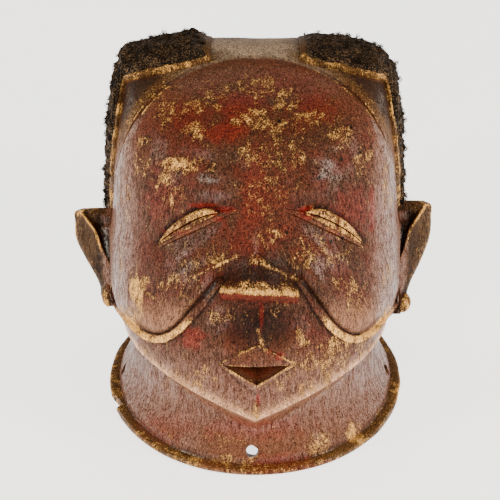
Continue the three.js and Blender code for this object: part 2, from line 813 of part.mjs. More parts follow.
// The piece lost from the rim's bead.
function makeChip() {
  const proud = [6, 3.6, 1.4, 0.8];
  const rings = proud.map((left, i) => {
    const turn = radians(mix(CHIP_START, CHIP_END, i / (proud.length - 1)));
    const inner = neckReach(turn, BEAD_HEIGHT, -left);
    return [
      onWall(turn, -2, inner),
      onWall(turn, -2, inner + 30),
      onWall(turn, BEAD_HEIGHT + 0.5, inner + 30),
      onWall(turn, BEAD_HEIGHT + 0.5, inner),
    ];
  });
  return loft(rings);
}

function makeHelmet() {
  let wood = makeBody().subtract(makeCrease());
  [-1, 1].forEach((side) => {
    wood = wood.add(makeSlab(side, false, -5, BED_LIFT));
    wood = wood.add(makeEar(side));
    wood = wood.add(makeCord(side));
    wood = wood.add(makeEye(side)).subtract(makeSlit(side));
  });
  wood = wood.add(makeNose()).add(makeUpperLip()).add(makeLowerLip());
  wood = wood.subtract(makeHollow());
  wood = wood.subtract(makeMouthCut());
  wood = wood.subtract(makeChip());
  const front = onWall(0, HOLE_HEIGHT, NECK_FRONT_REACH).setX(FRONT_HOLE_ACROSS);
  wood = wood.subtract(makeHole(front, new THREE.Vector3(0, 1, 0)));
  [-1, 1].forEach((side) => {
    const place = new THREE.Vector3(side * NECK_HALF_WIDTH, SIDE_HOLE_Y, HOLE_HEIGHT);
    wood = wood.subtract(makeHole(place, new THREE.Vector3(1, 0, 0)));
  });
  return wood;
}

function makeMesh(name, solid, material) {
  const result = solid.getMesh();
  const geometry = new THREE.BufferGeometry();
  geometry.setAttribute("position", new THREE.BufferAttribute(result.vertProperties, 3));
  geometry.setIndex(new THREE.BufferAttribute(result.triVerts, 1));
  const mesh = new THREE.Mesh(geometry, material);
  mesh.name = name;
  return mesh;
}

const mask = new THREE.Group();
mask.position.set(-MIDDLE_X, -MIDDLE_Y, 0);
mask.add(makeMesh("helmet", makeHelmet(), WOOD));
[["hair_left", -1], ["hair_right", 1]].forEach(([name, side]) => {
  const patch = makeSlab(side, true, BED_LIFT + HAIR_GAP, BED_LIFT + HAIR_GAP + HAIR_THICKNESS);
  mask.add(makeMesh(name, patch, HAIR));
});

export default mask;
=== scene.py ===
"""A carved and painted wooden helmet mask with short hair on its crown.

Lengths in the shape functions are millimetres in the carver's frame: x to the right, y back and
z up. SHIFT moves that frame to the model's, and MM turns it into metres.
"""

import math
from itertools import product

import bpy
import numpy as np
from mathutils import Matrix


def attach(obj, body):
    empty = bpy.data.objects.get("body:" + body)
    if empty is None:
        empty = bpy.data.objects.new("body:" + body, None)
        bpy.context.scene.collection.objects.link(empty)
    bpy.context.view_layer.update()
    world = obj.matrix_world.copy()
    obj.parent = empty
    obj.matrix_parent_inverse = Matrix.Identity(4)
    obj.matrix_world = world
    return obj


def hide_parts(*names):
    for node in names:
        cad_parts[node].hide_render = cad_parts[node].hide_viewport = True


bl_info = {
    "name": "Carved helmet mask",
    "version": (1, 0, 0),
    "blender": (4, 5, 0),
    "location": "3D View > Sidebar > Mask",
    "description": "Builds a carved and painted wooden helmet mask with short hair on its crown",
    "category": "Add Mesh",
}

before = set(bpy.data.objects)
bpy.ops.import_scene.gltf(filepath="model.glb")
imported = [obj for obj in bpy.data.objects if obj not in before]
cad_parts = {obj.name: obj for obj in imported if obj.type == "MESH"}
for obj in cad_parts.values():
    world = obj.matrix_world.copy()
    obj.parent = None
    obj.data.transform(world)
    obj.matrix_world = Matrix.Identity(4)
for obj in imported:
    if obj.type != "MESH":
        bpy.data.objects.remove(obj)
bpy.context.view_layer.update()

MM = 0.001
SHIFT = np.array([1.27, 0.38, 0.0])

# Head: a hollow with a domed top, measured from a centre point inside it.
CENTRE = np.array([0.0, 4.0, 118.0])
HEAD_HALF_WIDTH = 96
CROWN_NARROWING = 4
FACE_REACH = 106.5
NAPE_REACH = 110
NAPE_TUCK = 16
FACE_LEAN = 0.2
JAW_NARROWING = 11
FACE_SQUARENESS = 2.4
JAW_SQUARENESS = 2.1
NAPE_SQUARENESS = 2.8

# The dome in side view: degrees from the face over the crown, and the reach from the centre.
DOME_REACH = (
    (0, FACE_REACH), (18, 102.5), (32, 105), (48, 113), (64, 121.5),
    (90, 127), (117, 122.5), (137, 117.5), (160, 112.5), (180, NAPE_REACH),
)

# The exponent of the dome's sections by the same degrees.
DOME_SQUARENESS = (
    (0, FACE_SQUARENESS), (35, 2.5), (62, 3.9), (90, 7), (118, 6), (150, 3.7),
    (180, NAPE_SQUARENESS),
)

# Neck, rim and jaw.
NECK_HALF_WIDTH = 81.5
NECK_FLARE = 10
NECK_CENTRE_Y = -9
NECK_FRONT_REACH = 96
NECK_BACK_REACH = 87
WAIST_HEIGHT = 32
RIM_HALF_WIDTH = 96.7
RIM_FRONT_REACH = 110.8
RIM_BACK_REACH = 101
RIM_SQUARENESS = 2.05
BEAD_HEIGHT = 5.4
GROOVE_DEPTH = 1.2
CHIN_HEIGHT = 43.5
JAW_RISE = 20
JAW_RISE_WIDTH = 84
JAW_RIDGE = 1.9
JAW_DEPTH = 20
NAPE_DEPTH = 32
JAW_SWEEP = 1.8
NECK_WALL = 9.5
HEAD_WALL = 12

# The front is carved along one slanting direction. Places on it are given across and up.
CARVE_TILT = math.radians(33)
CARVE_UP = np.array([0, math.sin(CARVE_TILT), math.cos(CARVE_TILT)])
CARVE_OUT = np.array([0, -math.cos(CARVE_TILT), math.sin(CARVE_TILT)])
SIDE_OUT = 56
CHIN_UP = -28
FACE_AXIS_LEAN = 0.032

EYE_INNER = (24.5, 107)
EYE_OUTER = (66, 90)
LEAF_START = 0.08
LEAF_END = 1.03
LEAF_WIDTH = 10
LEAF_LOW = (0.9, -3.2)
SLIT_SHARE = 0.38
UPPER_LID_LIFT = 2.9
LOWER_LID_LIFT = 1.9
SLIT_DEPTH = 2.2
SOCKET_DEPTH = 4.5
BROW_LIFT = 2

NOSE_BOTTOM_UP = 54
NOSE_BOTTOM_TILT = 0.05
NOSE_TOP_UP = 106
NOSE_HALF_WIDTH = 25.5
BRIDGE_HALF_WIDTH = 8
NOSE_LIFT = 12

CORD_PATH = ((25, 62), (42, 45), (60, -1), (89, 45))
CORD_STEPS = 18
CORD_HALF_WIDTH = 2.8
CORD_LIFT = 1.2
CORD_HEIGHT = 2.3
CHEEK_LIFT = 5.5
CHEEK_FADE = 26

MOUTH_HALF_WIDTH = 25.5
MOUTH_LINE_UP = 8.2
UPPER_LIP_UP = 21.5
OPENING_HALF_WIDTH = 22.5
OPENING_BOTTOM_UP = -5
LOWER_LIP_UP = -10.5
LIP_LIFT = 3.2
MUZZLE_LIFT = 5
MOUTH_DEPTH = 60

CREASE_HALF_WIDTH = 93
CREASE_UP = 112
CREASE_TOP_UP = 209
CREASE_SQUARENESS = 2.1
CREASE_DEPTH = 0.8

EAR_TOP_UP = 111
EAR_LOBE_UP = 46
EAR_REACH = 117.6
EAR_OUT = 58
EAR_TOP_THICKNESS = 8
EAR_THICKNESS = 19
EAR_ROOT = 84
EAR_FLANGE = 13
EAR_CREST_LIFT = 2.5
EAR_HOLLOW_DEPTH = 4.2
EAR_ASYMMETRY = 5

# Each ear's lobe, left and right: across, up and half sizes.
EAR_LOBES = {-1: (-96.6, 55, (4.6, 9.5, 6)), 1: (97.4, 49, (6, 6.8, 6))}

# The ear's edge, as shares of its length downwards and of its reach.
EAR_OUTLINE = (
    (0, 0.8), (0.03, 0.99), (0.12, 1), (0.3, 0.97), (0.5, 0.77),
    (0.7, 0.5), (0.8, 0.4), (0.9, 0.38), (1, 0.2),
)

# Hair beds, in degrees over the crown and away from the middle line. Their front edge has a
# corner above the temple and then runs down beside the face: away and over.
HAIR_FRONT = (
    (13, 88.6), (17, 86.6), (21, 85), (26, 83.5), (30, 83.4), (33, 84.4), (36.5, 86.5), (38, 84),
    (40, 79.5), (43, 76), (50, 72), (60, 70.5), (90, 70),
)
HAIR_BACK_TURN = 190
HAIR_INNER_TURN = 13
HAIR_OUTER_TURN = 80
BED_LIFT = (3.2, 1.4)
BED_MARGIN = 2.0
BED_GRID = (112, 70)
MAT_GRID = (236, 128)
STRANDS_START_TURN = 68
STRANDS_IN_TUFT = 11
STRAND_STEPS = 8

# How tall the hair stands on its bed, as a share of the usual height, by degrees away from the
# middle line: on the left, on the right.
HAIR_TALL = {
    -1: ((13, 0.7), (18, 1.5), (25, 0.75), (31, 0.85), (35, 1.9), (39, 1.6), (44, 1.0), (54, 1.4),
         (65, 0.95), (72, 1.3), (80, 0.8)),
    1: ((13, 0.5), (16, 0.8), (25, 0.5), (30, 0.35), (36, 1.1), (39, 1.4), (45, 0.8), (51, 1.4),
        (57, 0.7), (61, 1.3), (68, 0.8), (80, 0.7)),
}

HOLE_RADIUS = 3.6
HOLE_HEIGHT = 13.5
HOLE_SLANT = math.radians(22)
FRONT_HOLE_ACROSS = -2
SIDE_HOLE_Y = -14
CHIP_START = -80
CHIP_END = -68.5

# Faces that the cut helmet has at least, and the angle from which its edges are sharp.
FEWEST_FACES = 10000
SHARP_ANGLE = math.radians(38)

# Low crests that run down beside the nose: from, to, height and how far they are worn.
CRESTS = (
    ((-11.9, 79.2), (-36.3, 67.3), 1.2, 0.85), ((2, 75.9), (28.4, 63.4), 0.8, 0.5),
    ((2, 31), (4.6, 21.1), 0.9, 0.85),
)

# Insect holes on the face: across and up.
INSECT_HOLES = (
    (15.8, 166.3), (62, 162.4), (68, 146.5), (55.8, 141.6), (41.6, 130), (20.5, 94.4),
    (56.8, 91), (44, 89.5), (49.5, 88.6),
)


def linear(red, green, blue):
    """Screen values from 0 to 255 as a linear colour."""
    values = np.array([red, green, blue]) / 255
    return tuple(np.where(values <= 0.04045, values / 12.92, ((values + 0.055) / 1.055) ** 2.4))


def tint(name, description, *screen):
    return bpy.props.FloatVectorProperty(
        name=name, description=description, default=linear(*screen), min=0, max=1,
        subtype="COLOR")


class MaskColours(bpy.types.PropertyGroup):
    """Colours of the paint, the bare wood and the hair, some of them painted shade and light."""

    paint: tint("Paint", "Dark red paint on the middle of the face", 78, 34, 20)
    brown: tint("Aged paint", "Paint that has turned brown", 66, 38, 23)
    # rose: faded paint and partly painted side light, lighter than the middle of the face
    rose: tint("Faded_and_side_lit paint", "Faded_and_side_lit, rosy paint on the sides and the jaw", 99, 60, 41)
    # pale: a painted highlight along the jaw's edge and on the lower cheeks
    pale: tint("Painted_highlight edge", "Pale paint along the jaw's edge", 226, 172, 134)
    # umber: painted shade in the hollows, slits and crease and under the nose and the brows
    umber: tint("Grime_and_shade", "Dark paint and grime in the hollows", 27, 9, 3)
    gold: tint("Bare wood", "Golden wood where the paint is worn away", 153, 112, 60)
    red: tint("Bright red", "Bright red left at the eyes and lips", 122, 17, 10)
    ashen: tint("Crown", "Grey-brown wood on the crown", 150, 127, 107)
    panel: tint("Panels", "Dark wood between the forehead and the hair", 46, 28, 19)
    olive: tint("Rim and ears", "Olive-brown wood of the rim and the ears", 86, 58, 28)
    raw: tint("Inside", "Unpainted wood inside the helmet", 112, 86, 60)
    hair: tint("Hair", "Short frizzy hair", 13, 9, 6)
    frizz: tint("Frizz", "The hair's light brown ends", 118, 90, 64)


class MaskSizes(bpy.types.PropertyGroup):
    """How fine and how worn the mask is."""

    columns: bpy.props.IntProperty(
        name="Columns", description="Columns of faces round the head", default=284, min=60)
    roughness: bpy.props.FloatProperty(
        name="Hewing", description="Height of the unevenness left by the knife, in millimetres",
        default=0.35, min=0)
    hair_height: bpy.props.FloatProperty(
        name="Hair height", description="Usual height of the matted hair on its bed",
        default=0.0034, min=0.001, unit="LENGTH")
    strands: bpy.props.IntProperty(
        name="Strands", description="Strands in each of the curly pieces", default=2900, min=10)
    camera_distance: bpy.props.FloatProperty(
        name="Camera distance", description="From the camera to the mask", default=5, min=1,
        unit="LENGTH")


def mix(low, high, share):
    return low + (high - low) * share


def fade(value, low, high):
    """0 below low, 1 above high, and 3 t^2 - 2 t^3 between them."""
    t = np.clip((value - low) / (high - low), 0, 1)
    return t * t * (3 - 2 * t)


def hump(distance):
    """(1 - d^2)^2, which is 1 in the middle and 0 from a distance of 1 on."""
    return np.maximum(0, 1 - distance * distance) ** 2


def bell(distance):
    """exp(-d^2)."""
    return np.exp(-distance * distance)


def through(stations, place):
    """A smooth curve through (place, value) stations: cubic pieces whose slope at each station is
    the one between its neighbours."""
    xs, ys = np.array(stations, float).T
    last = len(xs) - 1
    before = np.maximum(np.arange(last + 1) - 1, 0)
    after = np.minimum(np.arange(last + 1) + 1, last)
    slopes = (ys[after] - ys[before]) / (xs[after] - xs[before])
    i = np.clip(np.searchsorted(xs[1:], place), 0, last - 1)
    span = xs[i + 1] - xs[i]
    t = np.clip((place - xs[i]) / span, 0, 1)
    rest = 1 - t
    return (
        ys[i] * rest**2 * (1 + 2 * t)
        + ys[i + 1] * t**2 * (3 - 2 * t)
        + slopes[i] * span * t * rest**2
        - slopes[i + 1] * span * t**2 * rest
    )


def noise(points, size, seed):
    """Smooth noise from -1 to 1: random values on a lattice of that cell size, one size or one
    for each axis, blended by fade between the eight corners of a cell."""
    cells = 32
    lattice = np.random.default_rng(seed).uniform(-1, 1, (cells, cells, cells))
    place = points / np.array(size)
    corner = np.floor(place).astype(int)
    t = fade(place - corner, 0, 1)
    total = 0
    for step in product((0, 1), repeat=3):
        weights = np.where(step, t, 1 - t)
        i, j, k = np.moveaxis((corner + step) % cells, -1, 0)
        total = total + weights.prod(axis=-1) * lattice[i, j, k]
    return total


def super_reach(a, b, half_a, half_b, squareness):
    """Reach of a superellipse in the direction (a, b): (|a/A|^n + |b/B|^n)^(-1/n)."""
    return ((np.abs(a) / half_a) ** squareness + (np.abs(b) / half_b) ** squareness) ** (
        -1 / squareness
    )


def axis_y(z):
    """Where the middle line stands at a height. It leans back from the neck to the head."""
    return mix(NECK_CENTRE_Y, CENTRE[1], fade(z, WAIST_HEIGHT, 98))


def neck_reach(turn, z, inset):
    """Level reach of the neck: a superellipse that flares towards the rim by the power 1.4 of the
    depth below its waist."""
    below = np.maximum(0, WAIST_HEIGHT - z) / (WAIST_HEIGHT - BEAD_HEIGHT)
    flare = NECK_FLARE * below**1.4 - inset
    depth = np.where(np.cos(turn) > 0, NECK_FRONT_REACH, NECK_BACK_REACH) + flare
    return super_reach(np.sin(turn), np.cos(turn), NECK_HALF_WIDTH + flare, depth, RIM_SQUARENESS)


def rim_reach(turn):
    depth = np.where(np.cos(turn) > 0, RIM_FRONT_REACH, RIM_BACK_REACH)
    return super_reach(np.sin(turn), np.cos(turn), RIM_HALF_WIDTH, depth, RIM_SQUARENESS)


def head_reach(turn, z, inset):
    """Level reach of the head below its centre: a superellipse that narrows towards the jaw, comes
    forward in front and tucks in at the nape."""
    down = CENTRE[2] - z
    width = HEAD_HALF_WIDTH - JAW_NARROWING * (1 - fade(z, 50, 88)) - inset
    lean = CENTRE[1] - axis_y(z)
    front = FACE_REACH + FACE_LEAN * down - lean
    tuck = NAPE_TUCK * (np.maximum(0, down) / (CENTRE[2] - CHIN_HEIGHT)) ** 2
    is_front = np.cos(turn) > 0
    depth = np.where(is_front, front, NAPE_REACH - tuck + lean) - inset
    square = np.where(
        is_front, mix(JAW_SQUARENESS, FACE_SQUARENESS, fade(z, 55, 100)), NAPE_SQUARENESS
    )
    return super_reach(np.sin(turn), np.cos(turn), width, depth, square)


def jaw_height(turn):
    """Height of the jaw's edge: lowest at the chin, with a slope that eases off sideways."""
    across = np.minimum(np.abs(np.sin(turn)) * 100 / JAW_RISE_WIDTH, 1)
    across = np.where(np.cos(turn) > 0, across, 1)
    return CHIN_HEIGHT + JAW_RISE * (1 - (1 - across) ** 2)


def dome_reach(direction, inset):
    """Reach from the centre in a direction: a superellipse of the head's width and of the side
    view's reach at that angle over the crown. Below the level it follows the head."""
    x, y, z = np.moveaxis(direction, -1, 0)
    over = np.arctan2(z, -y)
    degrees = np.degrees(over)
    width = HEAD_HALF_WIDTH - CROWN_NARROWING * np.sin(over) ** 2 - inset
    above = super_reach(
        x, np.hypot(y, z), width, through(DOME_REACH, degrees) - inset,
        through(DOME_SQUARENESS, degrees),
    )
    level = np.maximum(np.hypot(x, y), 1e-6)
    height = CENTRE[2] + NAPE_REACH * z / level
    below = head_reach(np.arctan2(x, -y), height, inset) / level
    return np.where(over < 0, below, above)


def on_wall(turn, z, reach):
    turn, z, reach = np.broadcast_arrays(turn, z, reach)
    return np.stack([np.sin(turn) * reach, axis_y(z) - np.cos(turn) * reach, z], axis=-1)


def aim(turn, climb):
    """The direction at a turn round from the face and a climb above the level."""
    turn, climb = np.broadcast_arrays(turn, climb)
    level = np.cos(climb)
    return np.stack([np.sin(turn) * level, -np.cos(turn) * level, np.sin(climb)], axis=-1)


def on_dome(direction, lift):
    return CENTRE + direction * dome_reach(direction, -lift)[..., None]


def wall_reach(turn, z):
    """Level reach of the outside: the neck below, the head above and a sweep between them under
    the jaw, with the jaw's edge, the groove above the rim and the rim's bead."""
    jaw = jaw_height(turn)
    front = np.cos(turn)
    neck = neck_reach(turn, z, 0)
    edge = JAW_RIDGE * np.maximum(0, 1 - np.abs(z - jaw) / 7) ** 1.5 * fade(front, 0.1, 0.6)
    head = head_reach(turn, z, 0) + edge
    below = mix(NAPE_DEPTH, JAW_DEPTH, fade(front, -0.5, 0.2))
    bend = mix(1.2, JAW_SWEEP, fade(front, 0, 0.7))
    sweep = np.clip((z - jaw + below) / below, 0, 1) ** bend
    body = mix(neck, head, sweep)
    cut = GROOVE_DEPTH * hump((z - BEAD_HEIGHT - 0.8) / 3)
    groove = neck_reach(turn, np.maximum(z, BEAD_HEIGHT), cut)
    across = np.minimum(np.abs(z / BEAD_HEIGHT - 0.5) * 2, 1)
    bead = (rim_reach(turn) - groove) * np.sqrt(1 - 0.85 * across**3)
    return np.where(z < BEAD_HEIGHT, groove + bead, body - neck + groove)


def share_of_wall(points):
    """Distance of points from the middle line or the centre, as a share of the plain form's."""
    x, y, z = np.moveaxis(points, -1, 0)
    behind = y - axis_y(z)
    wall = wall_reach(np.arctan2(x, -behind), np.maximum(z, BEAD_HEIGHT))
    low = np.hypot(x, behind) / wall
    outward = points - CENTRE
    length = np.maximum(np.linalg.norm(outward, axis=-1), 1e-6)
    high = length / dome_reach(outward / length[..., None], 0)
    return np.where(z < CENTRE[2], low, high)


def face_point(across, up, out):
    return (
        np.array([1.0, 0, 0]) * np.asarray(across)[..., None]
        + CARVE_UP * np.asarray(up)[..., None]
        + CARVE_OUT * np.asarray(out)[..., None]
    )


def plain_depth(across, up):
    """Depth along the carving direction at which the plain form is met, by halving."""
    across, up = np.broadcast_arrays(np.asarray(across, float), np.asarray(up, float))
    inside = np.full(across.shape, float(SIDE_OUT))
    outside = np.full(across.shape, 220.0)
    for _ in range(24):
        out = (inside + outside) / 2
        is_inside = share_of_wall(face_point(across, up, out)) < 1
        inside = np.where(is_inside, out, inside)
        outside = np.where(is_inside, outside, out)
    return out


def axis_across(up):
    return FACE_AXIS_LEAN * (up - CHIN_UP)


def cord_places(side):
    """The cord's course on one side: a cubic Bezier curve from the nose's wing to the ear."""
    t = np.linspace(0, 1, CORD_STEPS + 1)
    weights = np.stack([(1 - t) ** 3, 3 * t * (1 - t) ** 2, 3 * t**2 * (1 - t), t**3])
    across, up = np.array(CORD_PATH, float).T @ weights
    return side * across + axis_across(up) * (1 - t), up


def to_cord(across, up):
    """Signed distance to the nearer cord, above it on the cheek's side, and the share of its
    length at the nearest place."""
    best = np.full(across.shape, np.inf)
    above = np.ones(across.shape)
    along = np.zeros(across.shape)
    for side in (-1, 1):
        xs, ys = cord_places(side)
        mine = (across > axis_across(up)) == (side > 0)
        for i in range(CORD_STEPS):
            dx, dy = xs[i + 1] - xs[i], ys[i + 1] - ys[i]
            t = np.clip(((across - xs[i]) * dx + (up - ys[i]) * dy) / (dx * dx + dy * dy), 0, 1)
            gap_x = across - xs[i] - dx * t
            gap_y = up - ys[i] - dy * t
            gap = np.hypot(gap_x, gap_y)
            nearer = mine & (gap < best)
            best = np.where(nearer, gap, best)
            above = np.where(nearer, np.sign(dx * gap_y - dy * gap_x) * side, above)
            along = np.where(nearer, (i + t) / CORD_STEPS, along)
    return best * above, along


def line_gap(across, up, start, end):
    """Distance to a straight line on the face between two places."""
    dx, dy = np.subtract(end, start)
    t = np.clip(((across - start[0]) * dx + (up - start[1]) * dy) / (dx * dx + dy * dy), 0, 1)
    return np.hypot(across - start[0] - dx * t, up - start[1] - dy * t)


def crease_gap(across, up):
    """Distance outside the forehead's crease, a superellipse round the forehead. It is negative
    on the forehead."""
    x, y = across, np.maximum(up - CREASE_UP, 0.01)
    radius = np.hypot(x, y)
    reach = super_reach(
        x / radius, y / radius, CREASE_HALF_WIDTH, CREASE_TOP_UP - CREASE_UP, CREASE_SQUARENESS
    )
    return radius - reach


def eye_marks(x, up):
    """The eye's places: share from the inner to the outer corner, and the distance above the line
    between them."""
    t = (np.abs(x) - EYE_INNER[0]) / (EYE_OUTER[0] - EYE_INNER[0])
    return t, up - mix(EYE_INNER[1], EYE_OUTER[1], t)


def leaf_edges(t):
    """Lower and upper edge of the eye's leaf above the line between the corners. It widens from
    its inner corner and tapers over its last third: width (1 - (1 - u/0.45)^2)^0.8 (1 - u^6)."""
    u = np.clip((t - LEAF_START) / (LEAF_END - LEAF_START), 0, 1)
    widening = (1 - (1 - np.minimum(u / 0.45, 1)) ** 2) ** 0.8
    low = mix(*LEAF_LOW, u)
    return low, low + LEAF_WIDTH * widening * (1 - u**6)


def groove_below_eye(t):
    return -3 - 2.4 * np.maximum(t, 0)


def lip_edges(x):
    """Heights on the face of the upper lip's top, the mouth's line, the opening's lower edge and
    the lower lip's lower edge, all straight lines in a V or a roof about the middle."""
    side = np.abs(x)
    return (
        UPPER_LIP_UP - side * (UPPER_LIP_UP - MOUTH_LINE_UP - 1) / MOUTH_HALF_WIDTH,
        MOUTH_LINE_UP - 1.3 * (1 - side / MOUTH_HALF_WIDTH),
        OPENING_BOTTOM_UP + side * (MOUTH_LINE_UP - OPENING_BOTTOM_UP) / OPENING_HALF_WIDTH,
        LOWER_LIP_UP + side * (MOUTH_LINE_UP + 1 - LOWER_LIP_UP) / MOUTH_HALF_WIDTH,
    )


def broad_relief(across, up):
    """The sockets, brows, cheeks and muzzle, as sums of humps along the carving direction."""
    x = across - axis_across(up)
    side = np.abs(x)
    middle, middle_up = np.add(EYE_INNER, EYE_OUTER) / 2
    slope = (EYE_INNER[1] - EYE_OUTER[1]) / (EYE_OUTER[0] - EYE_INNER[0])
    above_eye = (up - middle_up + slope * (side - middle)) / 19
    socket = -SOCKET_DEPTH * hump(np.hypot((side - middle) / 34, above_eye))
    brow = BROW_LIFT * hump(np.hypot((side - 36) / 34, (up - 127) / 16))
    gap, _ = to_cord(across, up)
    step = fade(gap, 0, CHEEK_FADE / 2) * fade(side, 22, 36)
    cheek = CHEEK_LIFT * hump(np.maximum(gap, 0) / CHEEK_FADE) * step
    muzzle = MUZZLE_LIFT * hump(np.hypot(x / 46, (up - 14) / 42)) * fade(-gap, -2, 6)
    return socket + brow + cheek + muzzle


def eye_relief(x, up):
    """A trough above the leaf of the eye and a low lid below it."""
    t, above = eye_marks(x, up)
    low, high = leaf_edges(t)
    beside = fade(t, -0.2, 0.05) * (1 - fade(t, 0.95, 1.2))
    lid = 0.7 * fade(above - groove_below_eye(t), 0, 1.2) * (1 - fade(above, low, low + 2))
    return (lid - 1.3 * bell((above - high - 1.6) / 2.4)) * beside


def cord_relief(across, up):
    """The trough above the cord, where the cheek overhangs it."""
    gap, along = to_cord(across, up)
    return -1.7 * bell((gap - CORD_HALF_WIDTH - 0.4) / 1.5) * (1 - fade(along, 0.9, 1))


def muzzle_relief(x, up):
    """The ridge under the nose with a hollow on each side of it, and a round knot in the right
    hollow."""
    ridge = 1.2 * hump((x - 0.4) / 3.5) * fade(up, 18, 24) * (1 - fade(up, 30, 44))
    hollows = -2.8 * (
        hump(np.hypot((x + 12.5) / 13, (up - 29) / 15))
        + hump(np.hypot((x - 12.5) / 12, (up - 29) / 15))
    )
    knot = np.hypot((x - 26.6) / 4.6, (up - 26.4) / 7.4)
    return ridge + hollows - 0.7 * bell((knot - 1) / 0.25) + 0.5 * hump(knot)


def fine_relief(across, up):
    """All carving of the front, as a height along the carving direction."""
    x = across - axis_across(up)
    shown = fade(up, CREASE_UP + 18, CREASE_UP + 40)
    proud = 1.2 * fade(-crease_gap(across, up), -0.5, 6) * shown
    side = np.abs(x)
    valley = -2.2 * hump(np.hypot((side - 20) / 10, (up - 66) / 9))
    crests = sum(
        height * bell(line_gap(across, up, start, end) / 2.2) for start, end, height, _ in CRESTS
    )
    return (
        broad_relief(across, up) + eye_relief(x, up) + cord_relief(across, up)
        + muzzle_relief(x, up) + proud + crests + valley
    )


def carved_point(across, up, lift):
    """A place on the carved front, lifted by a height along the carving direction."""
    across, up = np.broadcast_arrays(np.asarray(across, float), np.asarray(up, float))
    return face_point(across, up, plain_depth(across, up) + fine_relief(across, up) + lift)


def carve(points):
    """Points of the plain form moved out by the carving, which fades at the sides of the head."""
    out = points @ CARVE_OUT
    strength = fade(out, 20, 50) * fade(points[..., 2], 14, 30)
    height = fine_relief(points[..., 0], points @ CARVE_UP)
    return points + CARVE_OUT * (strength * height)[..., None]


def hew(points, height):
    """Points moved sideways and up by smooth noise of three sizes, as a knife leaves them."""
    shares = ((14, 1), (5, 0.45), (2.6, 0.15))
    for axis in range(3):
        wander = sum(
            share * noise(points, (size, size, 1.8 * size), 10 * axis + k)
            for k, (size, share) in enumerate(shares)
        )
        points = points + np.eye(3)[axis] * (height * wander)[..., None]
    return points


def grid_faces(rows, columns, closed):
    """Quads of a grid of points, row after row. A closed grid meets itself across the columns."""
    i, j = np.meshgrid(
        np.arange(rows - 1), np.arange(columns if closed else columns - 1), indexing="ij"
    )
    a = i * columns + j
    b = i * columns + (j + 1) % columns
    return np.stack([a, b, b + columns, a + columns], axis=-1).reshape(-1, 4)


def volume(points, faces):
    """Six times the volume that triangles bound: the sum of a . (b x c)."""
    a, b, c = (points[faces[:, k]] for k in range(3))
    return np.einsum("ij,ij->", a, np.cross(b, c))


def make_mesh(name, points, quads, triangles=()):
    """A mesh object, in metres and in the model's frame, with its faces turned outwards."""
    triangles = np.array(triangles, int).reshape(-1, 3)
    quads = np.array(quads, int).reshape(-1, 4)
    halves = np.concatenate([quads[:, :3], quads[:, [0, 2, 3]], triangles])
    if volume(points, halves) < 0:
        quads = quads[:, ::-1]
        triangles = triangles[:, ::-1]
    mesh = bpy.data.meshes.new(name)
    mesh.from_pydata(((points + SHIFT) * MM).tolist(), [], quads.tolist() + triangles.tolist())
    mesh.validate()
    mesh.shade_smooth()
    piece = bpy.data.objects.new(name, mesh)
    bpy.context.collection.objects.link(piece)
    return piece


def loft(name, rings):
    """A closed solid through rings of equally many points, with a fan at each end."""
    rows, columns = rings.shape[:2]
    points = np.concatenate([rings.reshape(-1, 3), rings[0].mean(axis=0)[None],
                             rings[-1].mean(axis=0)[None]])
    first = np.arange(columns)
    last = first + (rows - 1) * columns
    ends = [
        np.stack([np.roll(first, -1), first, np.full(columns, rows * columns)], axis=-1),
        np.stack([last, np.roll(last, -1), np.full(columns, rows * columns + 1)], axis=-1),
    ]
    return make_mesh(name, points, grid_faces(rows, columns, True), np.concatenate(ends))


def thicken(name, top, bottom):
    """A closed solid between two open grids of points."""
    rows, columns = top.shape[:2]
    below = rows * columns
    points = np.concatenate([top.reshape(-1, 3), bottom.reshape(-1, 3)])
    sheet = grid_faces(rows, columns, False)
    near, far = np.arange(columns), np.arange(columns) + (rows - 1) * columns
    left, right = np.arange(rows) * columns, np.arange(rows) * columns + columns - 1
    edge = np.concatenate([near, right[1:], far[::-1][1:], left[::-1][1:]])
    walls = np.stack([edge[1:], edge[:-1], edge[:-1] + below, edge[1:] + below], axis=-1)
    return make_mesh(name, points, np.concatenate([sheet, sheet[:, ::-1] + below, walls]))


def smooth_ring(corners, count):
    """Closed rings of count points on the smooth curve through each ring's corners."""
    n = corners.shape[-2]
    place = np.arange(count) * n / count
    i = place.astype(int)
    t = (place - i)[:, None]
    a, b, c, d = (corners[..., (i + k) % n, :] for k in (-1, 0, 1, 2))
    return 0.5 * (
        2 * b + (c - a) * t + (2 * a - 5 * b + 4 * c - d) * t**2
        + (3 * b - a - 3 * c + d) * t**3
    )


def spread(bounds, steps):
    """Even places between bounds, with that many steps in each interval and the ends once."""
    parts = [
        np.linspace(low, high, count, endpoint=False)
        for low, high, count in zip(bounds[:-1], bounds[1:], steps)
    ]
    return np.concatenate(parts)


